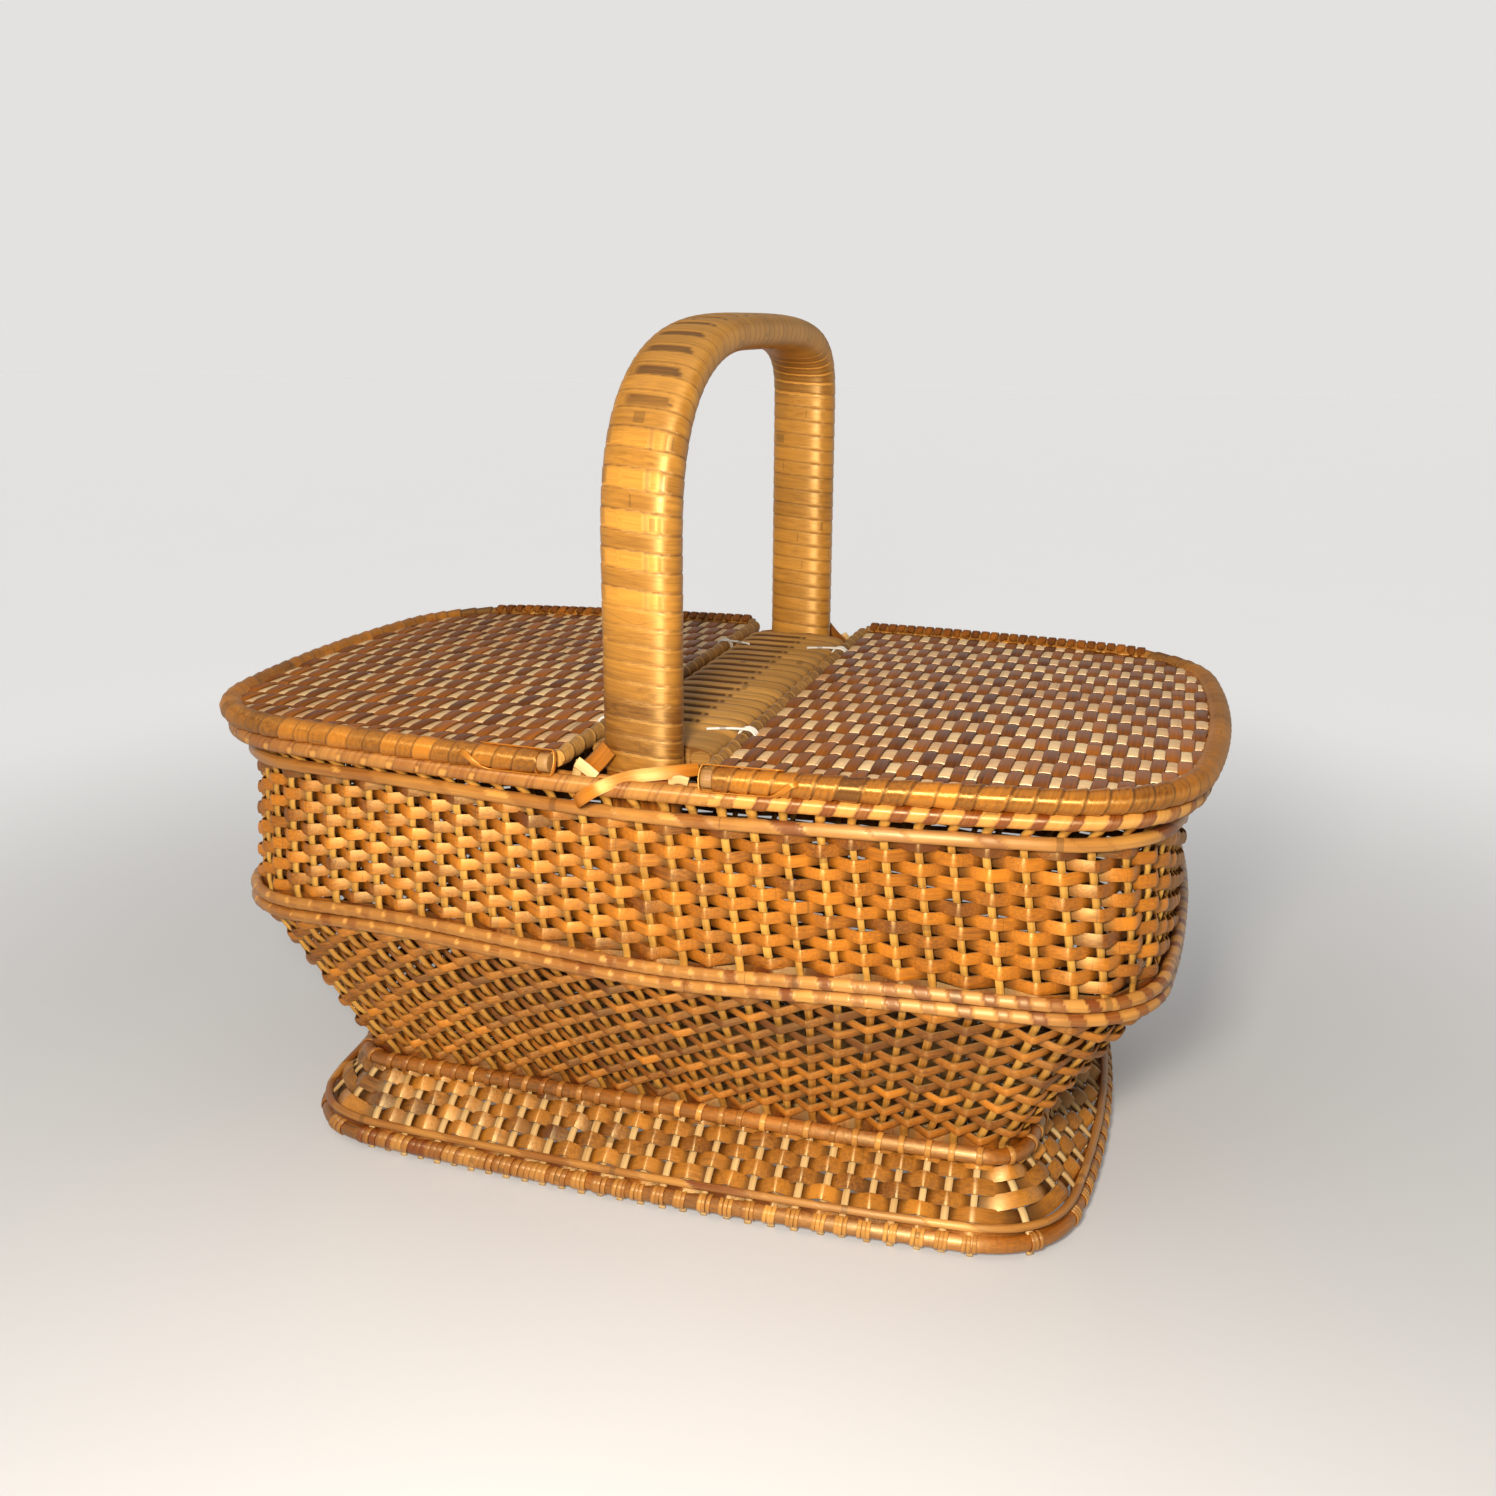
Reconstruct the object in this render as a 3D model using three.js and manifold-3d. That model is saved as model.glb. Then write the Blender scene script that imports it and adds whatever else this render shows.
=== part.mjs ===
// Woven cane picnic basket with a fixed arched handle and two hinged lids.
// Millimetres, +Z up. The length runs along X, the front faces -Y,
// and the origin is on the ground under the middle of the basket.

import * as THREE from "three";
import { mergeVertices } from "three/addons/utils/BufferGeometryUtils.js";
import Module from "manifold-3d";

// Wall plan at the foot
const FOOT_HALF_LENGTH = 175;
const FOOT_HALF_DEPTH = 119;
const FOOT_SIDE_BOW = 8;
const FOOT_END_BOW = 11;
const FOOT_CORNER = 34;

// Wall plan at the waist
const WAIST_HALF_LENGTH = 149;
const WAIST_HALF_DEPTH = 91;
const WAIST_SIDE_BOW = 1.5;
const WAIST_END_BOW = 5;
const WAIST_CORNER = 14;

// Wall plan from the belt to the rail, which share their length and depth
const BODY_HALF_LENGTH = 197;
const BODY_HALF_DEPTH = 123;
const BODY_CORNER = 36;
const BELT_SIDE_BOW = 12;
const BELT_END_BOW = 9;
const TOP_SIDE_BOW = 18;
const TOP_END_BOW = 11;
const RIM_FLARE = 6;

// Heights, each measured from the one before it: ground, waist, belt, rail, rim and top of the handle
const FOOT_HEIGHT = 33;
const LOWER_WALL_HEIGHT = 78;
const UPPER_WALL_HEIGHT = 61.5;
const RIM_RISE = 12.5;
const HANDLE_RISE = 162;

// Stake ends: how far they stand out below the foot hoop and end below the rim's top
const STAKE_FOOT = 1;
const STAKE_DIP = 1.5;

// Weave and floor
const WALL = 2.4;
const LOWER_WALL_ROWS = 16;
const WEAVE_RELIEF = 0.6;
const FLOOR_THICKNESS = 2.6;
const FIT = 0.3;

// Rods
const FOOT_HOOP_RADIUS = 4;
const BAND_RADIUS = 1.6;
const BAND_RISE = 3.8;
const WAIST_HOOP_RADIUS = 3.2;
const BELT_ROD_RADIUS = 2.4;
const BELT_ROD_GAP = 0.8;
const RAIL_RADIUS = 2.2;
const RIM_RADIUS = 3;
const LINER_RADIUS = 2.2;

// Handle bow and its wrap
const HANDLE_WIDTH = 28.6;
const HANDLE_THICKNESS = 13;
const HANDLE_ROUNDING = 2.7;
const FRONT_ARCH_RISE = 79;
const FRONT_ARCH_FULLNESS = 2.75;
const BACK_ARCH_RISE = 40;
const BACK_ARCH_FULLNESS = 3.8;
const ARCH_STEPS = 16;
const LEG_CLEARANCE = 1.5;
const WRAP_GAP = 0.5;
const HANDLE_STRIP = 0.9;
const HANDLE_STRIP_WIDTH = 6.4;
const HANDLE_TURNS = 24;
const HANDLE_WRAP_RISE = 1.5;

// Crossbar and its wrap
const CROSSBAR_WIDTH = 48;
const CROSSBAR_THICKNESS = 8;
const CROSSBAR_ROUNDING = 2.6;
const CROSSBAR_CROWN = 3.8;
const CROSSBAR_STRIP = 0.8;
const CROSSBAR_TURNS = 18;
const CROSSBAR_TURN_SPACE = 2;
const CROSSBAR_WRAP_INSET = 3;

// Lids
const LID_OVERHANG = 1.5;
const LID_HOOP_RADIUS = 3.4;
const LID_STRIP = 0.7;
const LID_TURNS = 16;
const LID_STRIP_WIDTH = 8;
const LID_WRAP_INSET = 10;
const HINGE_ROD_RADIUS = 2.8;
const PANEL_THICKNESS = 2.4;
const PANEL_RAISE = 0.8;
const PANEL_STRIPS = 32;
const PANEL_ROWS = 15;
const PANEL_RELIEF = 0.4;

// String ties
const STRING_RADIUS = 0.5;
const TIE_GAP = 0.4;
const TIE_TURNS = 2.5;
const TIE_TURN_GAP = 0.6;
const TIE_TAIL = 8;
const TIE_INSET = 30.2;
const NOTCH_CLEARANCE = 0.6;

// Lashing at the handle's feet
const LASHING_THICKNESS = 0.9;
const LASHING_HEIGHT = 5;
const LASHING_REACH = 10;
const LASHING_RETURN = 8;
const LASHING_BEND = 3.2;

// Facets
const SIDE_STEPS = 10;
const END_STEPS = 6;
const CORNER_STEPS = 3;
const ROD_SIDES = 6;
const THICK_ROD_SIDES = 8;
const HINGE_ROD_SIDES = 12;
const HANDLE_SIDES = 10;
const CROSSBAR_SIDES = 8;
const STRING_SIDES = 4;
const STRING_STEPS = 8;
const BEND_TOLERANCE = 0.12;
const CURVE_SAMPLES = 600;
const ROUND = 2;

// Heights above the ground
const footHoopZ = STAKE_FOOT + FOOT_HOOP_RADIUS;
const skirtTurnZ = footHoopZ + FOOT_HOOP_RADIUS;
const waistZ = FOOT_HEIGHT;
const beltZ = waistZ + LOWER_WALL_HEIGHT;
const railZ = beltZ + UPPER_WALL_HEIGHT;
const rimZ = railZ + RIM_RISE;
const handleTopZ = rimZ + HANDLE_RISE;

// Half heights of the wall's upright stretches, where rods lie against it
const waistCollar = WAIST_HOOP_RADIUS + FIT;
const beltCollar = 2 * BELT_ROD_RADIUS + BELT_ROD_GAP / 2 + FIT;
const railCollar = RAIL_RADIUS + FIT;
const rimCollar = RIM_RADIUS + FIT;

// Lids, crossbar, hinge line and handle
const lidHoopOuter = LID_HOOP_RADIUS + WRAP_GAP + LID_STRIP;
const lidZ = rimZ + RIM_RADIUS + FIT + lidHoopOuter;
const crossbarSkin = WRAP_GAP + CROSSBAR_STRIP;
const crossbarTopZ = lidZ + CROSSBAR_CROWN;
const crossbarZ = crossbarTopZ - crossbarSkin - CROSSBAR_THICKNESS / 2;
const tieRadius = HINGE_ROD_RADIUS + TIE_GAP + STRING_RADIUS;
const tieOuter = tieRadius + STRING_RADIUS;
const tiePitch = 2 * STRING_RADIUS + TIE_TURN_GAP;
const hingeX = CROSSBAR_WIDTH / 2 + crossbarSkin + FIT + tieOuter;
const wallInside = BODY_HALF_DEPTH - WALL / 2;
const linerInside = wallInside + RIM_FLARE - FIT - 2 * LINER_RADIUS;
const legY = Math.min(wallInside, linerInside) - FIT - HANDLE_THICKNESS / 2;
const legBottomZ = beltZ - beltCollar + LEG_CLEARANCE;
const frontSpringZ = handleTopZ - FRONT_ARCH_RISE;
const backSpringZ = handleTopZ - BACK_ARCH_RISE;
const crossbarHalf = legY - HANDLE_THICKNESS / 2 - FIT;
const tieY = crossbarHalf - TIE_INSET;
const lashingZ = rimZ + RIM_RADIUS + FIT + LASHING_HEIGHT / 2;
const lashingTopZ = lashingZ + LASHING_HEIGHT / 2;

const CANE = { color: 0xb8701c, roughness: 0.4, metalness: 0 };
const PALE_CANE = { color: 0xd0a055, roughness: 0.5, metalness: 0 };
const DARK_CANE = { color: 0x6f4a2a, roughness: 0.6, metalness: 0 };
const OLIVE_CANE = { color: 0x8a6a3c, roughness: 0.55, metalness: 0 };
const STRING = { color: 0xeeeae0, roughness: 0.9, metalness: 0 };

const wasm = await Module();
wasm.setup();

const group = new THREE.Group();

function addPiece(name, geometry, finish) {
  const mesh = new THREE.Mesh(geometry, new THREE.MeshStandardMaterial(finish));
  mesh.name = name;
  group.add(mesh);
}

// Joins rings of points, all with the same count, into one closed solid.
// A loop of rings closes on itself, and an open run gets a flat cap at each end.
function solidFromRings(rings, isLoop) {
  const sides = rings[0].length;
  const positions = rings.flat().flatMap((point) => [point.x, point.y, point.z]);
  const triangles = [];
  const spans = isLoop ? rings.length : rings.length - 1;
  for (let i = 0; i < spans; i += 1) {
    const here = i * sides;
    const next = ((i + 1) % rings.length) * sides;
    for (let j = 0; j < sides; j += 1) {
      const k = (j + 1) % sides;
      triangles.push([here + j, here + k, next + k], [here + j, next + k, next + j]);
    }
  }
  if (!isLoop) {
    const last = (rings.length - 1) * sides;
    for (let j = 1; j < sides - 1; j += 1) {
      triangles.push([0, j + 1, j], [last, last + j, last + j + 1]);
    }
  }
  if (signedVolume(positions, triangles) < 0) {
    triangles.forEach((triangle) => triangle.reverse());
  }
  const geometry = new THREE.BufferGeometry();
  geometry.setAttribute("position", new THREE.Float32BufferAttribute(positions, 3));
  geometry.setIndex(triangles.flat());
  geometry.computeVertexNormals();
  return geometry;
}

function signedVolume(positions, triangles) {
  const corner = (i) => new THREE.Vector3().fromArray(positions, 3 * i);
  return triangles.reduce((sum, [a, b, c]) => sum + corner(a).dot(corner(b).cross(corner(c))), 0) / 6;
}

// What two closed solids have in common.
function commonSolid(one, two) {
  const mesh = asManifold(one).intersect(asManifold(two)).getMesh();
  const geometry = new THREE.BufferGeometry();
  geometry.setAttribute("position", new THREE.Float32BufferAttribute(mesh.vertProperties, mesh.numProp));
  geometry.setIndex([...mesh.triVerts]);
  geometry.computeVertexNormals();
  return geometry;
}

function asManifold(geometry) {
  const bare = geometry.clone().deleteAttribute("normal").deleteAttribute("uv");
  const merged = mergeVertices(bare);
  return new wasm.Manifold(new wasm.Mesh({
    numProp: 3,
    vertProperties: new Float32Array(merged.attributes.position.array),
    triVerts: new Uint32Array(merged.index.array),
  }));
}

// Outline of a hoop: four bowed sides, with the corners between them rounded.
// Every outline has the same number of points, so any two can be joined.
function planOutline({ halfLength, halfDepth, sideBow, endBow, corner }) {
  const cornerX = halfLength - endBow;
  const cornerY = halfDepth - sideBow;
  const bowed = (x0, y0, x1, y1, bulgeX, bulgeY) => new THREE.QuadraticBezierCurve(
    new THREE.Vector2(x0, y0),
    new THREE.Vector2((x0 + x1) / 2 + 2 * bulgeX, (y0 + y1) / 2 + 2 * bulgeY),
    new THREE.Vector2(x1, y1),
  );
  const sides = [
    { curve: bowed(-cornerX, -cornerY, cornerX, -cornerY, 0, -sideBow), steps: SIDE_STEPS },
    { curve: bowed(cornerX, -cornerY, cornerX, cornerY, endBow, 0), steps: END_STEPS },
    { curve: bowed(cornerX, cornerY, -cornerX, cornerY, 0, sideBow), steps: SIDE_STEPS },
    { curve: bowed(-cornerX, cornerY, -cornerX, -cornerY, -endBow, 0), steps: END_STEPS },
  ];
  const cut = (curve) => corner / curve.getLength();
  const points = [];
  sides.forEach(({ curve, steps }, i) => {
    const start = cut(curve);
    for (let k = 0; k < steps; k += 1) {
      points.push(curve.getPoint(start + (1 - 2 * start) * (k / steps)));
    }
    const next = sides[(i + 1) % sides.length].curve;
    const leave = curve.getPoint(1 - start);
    const arrive = next.getPoint(cut(next));
    const meeting = crossing(leave, curve.getTangent(1 - start), arrive, next.getTangent(cut(next)));
    const round = new THREE.QuadraticBezierCurve(leave, meeting, arrive);
    for (let k = 0; k < CORNER_STEPS; k += 1) {
      points.push(round.getPoint(k / CORNER_STEPS));
    }
  });
  return points;
}

// Point where two lines meet, each given by a point and a direction.
function crossing(p, alongP, q, alongQ) {
  const distance = q.clone().sub(p).cross(alongQ) / alongP.cross(alongQ);
  return p.clone().addScaledVector(alongP, distance);
}

// Outward directions along a closed outline.
function outwards(outline) {
  return outline.map((point, i) => {
    const before = outline[(i + outline.length - 1) % outline.length];
    const after = outline[(i + 1) % outline.length];
    return new THREE.Vector2(after.y - before.y, before.x - after.x).normalize();
  });
}

function offsetOutline(outline, distance) {
  const directions = outwards(outline);
  return outline.map((point, i) => point.clone().addScaledVector(directions[i], distance));
}

function blendOutline(from, to, share) {
  return from.map((point, i) => point.clone().lerp(to[i], share));
}

// Woven wall through a list of levels, each an outline at a height.
// A level with relief goes out and in by turns, from point to point of the wall's outer face.
function wall(levels) {
  const face = ({ outline, z }, distance) => {
    const directions = outwards(outline);
    return outline.map((point, i) => {
      const placed = point.clone().addScaledVector(directions[i], distance(i));
      return new THREE.Vector3(placed.x, placed.y, z);
    });
  };
  const outer = levels.map((level) => (
    face(level, (i) => WALL / 2 + (i % 2 ? -1 : 1) * (level.relief ?? 0))
  ));
  const plain = levels.filter((level) => !level.relief);
  const inner = plain.map((level) => face(level, () => -WALL / 2)).reverse();
  const rings = levels[0].outline.map((_, i) => [...outer, ...inner].map((points) => points[i]));
  return solidFromRings(rings, true);
}

// Rows of weave between two levels, each row in where the last one is out.
function wovenRows(low, high, rows) {
  return Array.from({ length: rows }, (_, row) => {
    const share = (row + 0.5) / rows;
    return {
      outline: blendOutline(low.outline, high.outline, share),
      z: low.z + (high.z - low.z) * share,
      relief: row % 2 ? -WEAVE_RELIEF : WEAVE_RELIEF,
    };
  });
}

// Closed hoop whose section is a list of [outward, upward] points.
function hoop(outline, z, section) {
  const directions = outwards(outline);
  const rings = outline.map((point, i) => section.map(([out, up]) => new THREE.Vector3(
    point.x + directions[i].x * out,
    point.y + directions[i].y * out,
    z + up,
  )));
  return solidFromRings(rings, true);
}

function roundSection(radius, sides) {
  return superSection(radius, radius, ROUND, sides);
}

// Section with the given half thickness and half width: an ellipse, or squarer with more rounding than that.
function superSection(halfThickness, halfWidth, rounding, sides) {
  return Array.from({ length: sides }, (_, k) => (
    sectionPoint(halfThickness, halfWidth, rounding, (2 * Math.PI * k) / sides)
  ));
}

function sectionPoint(halfThickness, halfWidth, rounding, angle) {
  const power = (value) => Math.sign(value) * Math.abs(value) ** (2 / rounding);
  return [halfThickness * power(Math.cos(angle)), halfWidth * power(Math.sin(angle))];
}

// Unit direction out of a rounded section at an angle.
function sectionNormal(halfThickness, halfWidth, rounding, angle) {
  const power = (value) => Math.sign(value) * Math.abs(value) ** (2 - 2 / rounding);
  const direction = [power(Math.cos(angle)) / halfThickness, power(Math.sin(angle)) / halfWidth];
  const length = Math.hypot(...direction);
  return direction.map((value) => value / length);
}

// Half-round section on one side of the wall: side is 1 outside and -1 inside.
function halfRoundSection(radius, side) {
  const flat = WALL / 2 + FIT;
  const reach = Math.acos(flat / radius);
  return Array.from({ length: ROD_SIDES }, (_, k) => {
    const angle = reach * ((2 * k) / (ROD_SIDES - 1) - 1);
    return [side * radius * Math.cos(angle), radius * Math.sin(angle)];
  });
}

// Frame on a flat curve: across is the direction square to the curve's plane.
function frameAt(curve, across, share) {
  const along = curve.getTangentAt(share);
  return { point: curve.getPointAt(share), along, across, out: across.clone().cross(along) };
}

function placed({ point, out, across }, [thick, wide]) {
  return point.clone().addScaledVector(out, thick).addScaledVector(across, wide);
}

// Shares of a curve's length, close enough together that straight runs between them follow its bends.
// A straight run leaves an arc by an eighth of the arc's length times its turn.
function stationsOn(curve) {
  const step = curve.getLength() / CURVE_SAMPLES;
  const tangent = (i) => curve.getTangentAt(i / CURVE_SAMPLES);
  const stations = [0];
  let last = 0;
  for (let i = 1; i < CURVE_SAMPLES; i += 1) {
    const turn = tangent(last).angleTo(tangent(i + 1));
    if (((i + 1 - last) * step * turn) / 8 > BEND_TOLERANCE) {
      stations.push(i / CURVE_SAMPLES);
      last = i;
    }
  }
  return [...stations, 1];
}

// Smooth curve through points, measured finely enough for even steps along it.
function smoothCurve(points) {
  const curve = new THREE.CatmullRomCurve3(points, false, "centripetal");
  curve.arcLengthDivisions = CURVE_SAMPLES;
  return curve;
}

// The same rings on the other side of the middle plane, where side is -1.
function onSide(rings, side) {
  return rings.map((ring) => ring.map((point) => new THREE.Vector3(side * point.x, point.y, point.z)));
}

// Rod along a flat curve with a section of [thickness, width] points.
function rodAlong(curve, across, section, side = 1) {
  const rings = stationsOn(curve).map((share) => {
    const frame = frameAt(curve, across, share);
    return section.map((corner) => placed(frame, corner));
  });
  return solidFromRings(onSide(rings, side), false);
}

// One unbroken flat strip wound around a rod, from one distance along its curve to another.
function woundStrip(name, winding, side = 1) {
  const { curve, across, from, to, turns, sides, halves, rounding, width, thickness } = winding;
  const length = curve.getLength();
  const [halfThickness, halfWidth] = halves.map((half) => half + WRAP_GAP + thickness / 2);
  const edges = [[], []];
  const rings = [];
  for (let i = 0; i <= turns * sides; i += 1) {
    const frame = frameAt(curve, across, (from + ((to - from) * i) / (turns * sides)) / length);
    const angle = (2 * Math.PI * i) / sides;
    const centre = placed(frame, sectionPoint(halfThickness, halfWidth, rounding, angle));
    const [thick, wide] = sectionNormal(halfThickness, halfWidth, rounding, angle);
    const lift = frame.out.clone().multiplyScalar(thick).addScaledVector(frame.across, wide);
    const corner = (ahead, up) => centre.clone()
      .addScaledVector(frame.along, (ahead * width) / 2)
      .addScaledVector(lift, (up * thickness) / 2);
    rings.push([corner(-1, -1), corner(1, -1), corner(1, 1), corner(-1, 1)]);
    edges[0].push(corner(-1, 0));
    edges[1].push(corner(1, 0));
  }
  reportTurnGap(name, edges[1], edges[0], sides);
  return solidFromRings(onSide(rings, side), false);
}

// Prints the least distance between a turn's leading edge and the next turn's trailing edge.
function reportTurnGap(name, leading, trailing, stepsPerTurn) {
  const gaps = leading.flatMap((point, i) => {
    const near = trailing.slice(i + Math.ceil(stepsPerTurn / 2), i + 2 * stepsPerTurn);
    return near.map((other) => point.distanceTo(other));
  });
  console.log(`${name}: least gap between turns ${Math.min(...gaps).toFixed(2)} mm`);
}

// Plans of the wall, from the ground up
const footPlan = planOutline({
  halfLength: FOOT_HALF_LENGTH,
  halfDepth: FOOT_HALF_DEPTH,
  sideBow: FOOT_SIDE_BOW,
  endBow: FOOT_END_BOW,
  corner: FOOT_CORNER,
});
const waistPlan = planOutline({
  halfLength: WAIST_HALF_LENGTH,
  halfDepth: WAIST_HALF_DEPTH,
  sideBow: WAIST_SIDE_BOW,
  endBow: WAIST_END_BOW,
  corner: WAIST_CORNER,
});
const beltPlan = planOutline({
  halfLength: BODY_HALF_LENGTH,
  halfDepth: BODY_HALF_DEPTH,
  sideBow: BELT_SIDE_BOW,
  endBow: BELT_END_BOW,
  corner: BODY_CORNER,
});
const railPlan = planOutline({
  halfLength: BODY_HALF_LENGTH,
  halfDepth: BODY_HALF_DEPTH,
  sideBow: TOP_SIDE_BOW,
  endBow: TOP_END_BOW,
  corner: BODY_CORNER,
});
const rimPlan = offsetOutline(railPlan, RIM_FLARE);
const rimHoopOffset = WALL / 2 + FIT + RIM_RADIUS;
const lidOffset = RIM_FLARE + rimHoopOffset + LID_OVERHANG;
const lidPlan = offsetOutline(railPlan, lidOffset);

// Foot: flared skirt, the two half-round rods of its hoop, and the band above them
const slopeTopZ = waistZ - waistCollar;
addPiece("foot_skirt", wall([
  { outline: footPlan, z: 0 },
  { outline: footPlan, z: skirtTurnZ },
  { outline: waistPlan, z: slopeTopZ },
  { outline: waistPlan, z: waistZ - FIT / 2 },
]), PALE_CANE);
addPiece("foot_hoop_outer", hoop(footPlan, footHoopZ, halfRoundSection(FOOT_HOOP_RADIUS, 1)), CANE);
addPiece("foot_hoop_inner", hoop(footPlan, footHoopZ, halfRoundSection(FOOT_HOOP_RADIUS, -1)), CANE);

const skirtRise = slopeTopZ - skirtTurnZ;
const skirtRun = Math.max(FOOT_HALF_LENGTH - WAIST_HALF_LENGTH, FOOT_HALF_DEPTH - WAIST_HALF_DEPTH);
const skirtStretch = Math.hypot(skirtRun, skirtRise) / skirtRise;
const bandPlan = offsetOutline(
  blendOutline(footPlan, waistPlan, BAND_RISE / skirtRise),
  WALL / 2 + (BAND_RADIUS + FIT) * skirtStretch,
);
addPiece("foot_band", hoop(bandPlan, skirtTurnZ + BAND_RISE, roundSection(BAND_RADIUS, ROD_SIDES)), CANE);

// A round rod lying against the outside of an upright stretch of wall
function outsideRod(name, plan, z, radius, sides) {
  const outline = offsetOutline(plan, WALL / 2 + FIT + radius);
  addPiece(name, hoop(outline, z, roundSection(radius, sides)), CANE);
}

// Waist and floor
outsideRod("waist_hoop", waistPlan, waistZ, WAIST_HOOP_RADIUS, ROD_SIDES);
const floorShape = new THREE.Shape(offsetOutline(waistPlan, -WALL / 2 - FIT));
const floor = new THREE.ExtrudeGeometry(floorShape, { depth: FLOOR_THICKNESS, bevelEnabled: false });
addPiece("floor_panel", floor.translate(0, 0, waistZ + FIT), PALE_CANE);

// Lower wall, belt, upper wall, rail, rim and the liner inside the rim
const flareFoot = { outline: waistPlan, z: waistZ + waistCollar };
const flareTop = { outline: beltPlan, z: beltZ - beltCollar };
addPiece("lower_wall", wall([
  { outline: waistPlan, z: waistZ + FIT / 2 },
  flareFoot,
  ...wovenRows(flareFoot, flareTop, LOWER_WALL_ROWS),
  flareTop,
  { outline: beltPlan, z: beltZ - FIT / 2 },
]), CANE);
const beltRodRise = BELT_ROD_RADIUS + BELT_ROD_GAP / 2;
outsideRod("belt_rod_lower", beltPlan, beltZ - beltRodRise, BELT_ROD_RADIUS, ROD_SIDES);
outsideRod("belt_rod_upper", beltPlan, beltZ + beltRodRise, BELT_ROD_RADIUS, ROD_SIDES);
addPiece("upper_wall", wall([
  { outline: beltPlan, z: beltZ + FIT / 2 },
  { outline: beltPlan, z: beltZ + beltCollar },
  { outline: railPlan, z: railZ - railCollar },
  { outline: railPlan, z: railZ + railCollar },
  { outline: rimPlan, z: rimZ - rimCollar },
  { outline: rimPlan, z: rimZ + RIM_RADIUS - STAKE_DIP },
]), CANE);
outsideRod("top_rail", railPlan, railZ, RAIL_RADIUS, ROD_SIDES);
outsideRod("rim_hoop", rimPlan, rimZ, RIM_RADIUS, THICK_ROD_SIDES);
const linerPlan = offsetOutline(rimPlan, -WALL / 2 - FIT - LINER_RADIUS);
addPiece("rim_liner", hoop(linerPlan, rimZ, roundSection(LINER_RADIUS, ROD_SIDES)), CANE);

// Handle bow: two upright legs inside the walls and an arch between them that bends tighter at the back
const acrossHandle = new THREE.Vector3(1, 0, 0);
const archPoints = Array.from({ length: ARCH_STEPS + 1 }, (_, k) => {
  const front = 2 * k <= ARCH_STEPS;
  const archRise = front ? FRONT_ARCH_RISE : BACK_ARCH_RISE;
  const fullness = front ? FRONT_ARCH_FULLNESS : BACK_ARCH_FULLNESS;
  const [depth, rise] = sectionPoint(legY, archRise, fullness, (Math.PI * k) / ARCH_STEPS);
  return new THREE.Vector3(0, -depth, handleTopZ - archRise + rise);
});
const handleCurve = smoothCurve([
  new THREE.Vector3(0, -legY, legBottomZ),
  new THREE.Vector3(0, -legY, (legBottomZ + frontSpringZ) / 2),
  ...archPoints,
  new THREE.Vector3(0, legY, (legBottomZ + backSpringZ) / 2),
  new THREE.Vector3(0, legY, legBottomZ),
]);
const handleHalves = [HANDLE_THICKNESS / 2, HANDLE_WIDTH / 2];
const handleSection = superSection(...handleHalves, HANDLE_ROUNDING, HANDLE_SIDES);
addPiece("handle_bow", rodAlong(handleCurve, acrossHandle, handleSection), CANE);

const handleBareTopZ = Math.max(crossbarTopZ, lashingTopZ) + HANDLE_WRAP_RISE;
const handleWrapFrom = handleBareTopZ + HANDLE_STRIP_WIDTH / 2 - legBottomZ;
addPiece("handle_wrap", woundStrip("handle_wrap", {
  curve: handleCurve,
  across: acrossHandle,
  from: handleWrapFrom,
  to: handleCurve.getLength() - handleWrapFrom,
  turns: HANDLE_TURNS,
  sides: HANDLE_SIDES,
  halves: handleHalves,
  rounding: HANDLE_ROUNDING,
  width: HANDLE_STRIP_WIDTH,
  thickness: HANDLE_STRIP,
}), CANE);

// Crossbar between the legs
const crossbarLine = new THREE.LineCurve3(
  new THREE.Vector3(0, -crossbarHalf, crossbarZ),
  new THREE.Vector3(0, crossbarHalf, crossbarZ),
);
const crossbarHalves = [CROSSBAR_THICKNESS / 2, CROSSBAR_WIDTH / 2];
const crossbarSection = superSection(...crossbarHalves, CROSSBAR_ROUNDING, CROSSBAR_SIDES);
addPiece("crossbar_board", rodAlong(crossbarLine, acrossHandle, crossbarSection), OLIVE_CANE);

const crossbarPitchSpan = 2 * (crossbarHalf - CROSSBAR_WRAP_INSET);
const crossbarStripWidth = crossbarPitchSpan / (CROSSBAR_TURNS + 1) - CROSSBAR_TURN_SPACE;
const crossbarWrapFrom = CROSSBAR_WRAP_INSET + crossbarStripWidth / 2;
addPiece("crossbar_wrap", woundStrip("crossbar_wrap", {
  curve: crossbarLine,
  across: acrossHandle,
  from: crossbarWrapFrom,
  to: 2 * crossbarHalf - crossbarWrapFrom,
  turns: CROSSBAR_TURNS,
  sides: CROSSBAR_SIDES,
  halves: crossbarHalves,
  rounding: CROSSBAR_ROUNDING,
  width: crossbarStripWidth,
  thickness: CROSSBAR_STRIP,
}), OLIVE_CANE);

// Flat lashing around the outer face of a leg, above the rim: end is -1 at the front and 1 at the back
function lashing(name, end) {
  const face = legY + HANDLE_THICKNESS / 2 + FIT + LASHING_THICKNESS / 2;
  const edge = HANDLE_WIDTH / 2 + FIT + LASHING_THICKNESS / 2;
  const route = [
    [-edge - LASHING_REACH, face + RIM_FLARE],
    [-edge, face + LASHING_THICKNESS],
    [0, face],
    [edge - LASHING_BEND, face],
    [edge, face - LASHING_BEND],
    [edge, face - LASHING_RETURN],
  ];
  const points = route.map(([x, y]) => new THREE.Vector3(-end * x, end * y, lashingZ));
  const half = [LASHING_THICKNESS / 2, LASHING_HEIGHT / 2];
  const section = [[-half[0], -half[1]], [half[0], -half[1]], [half[0], half[1]], [-half[0], half[1]]];
  addPiece(name, rodAlong(smoothCurve(points), new THREE.Vector3(0, 0, 1), section), CANE);
}
lashing("lashing_front", -1);
lashing("lashing_back", 1);

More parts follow.
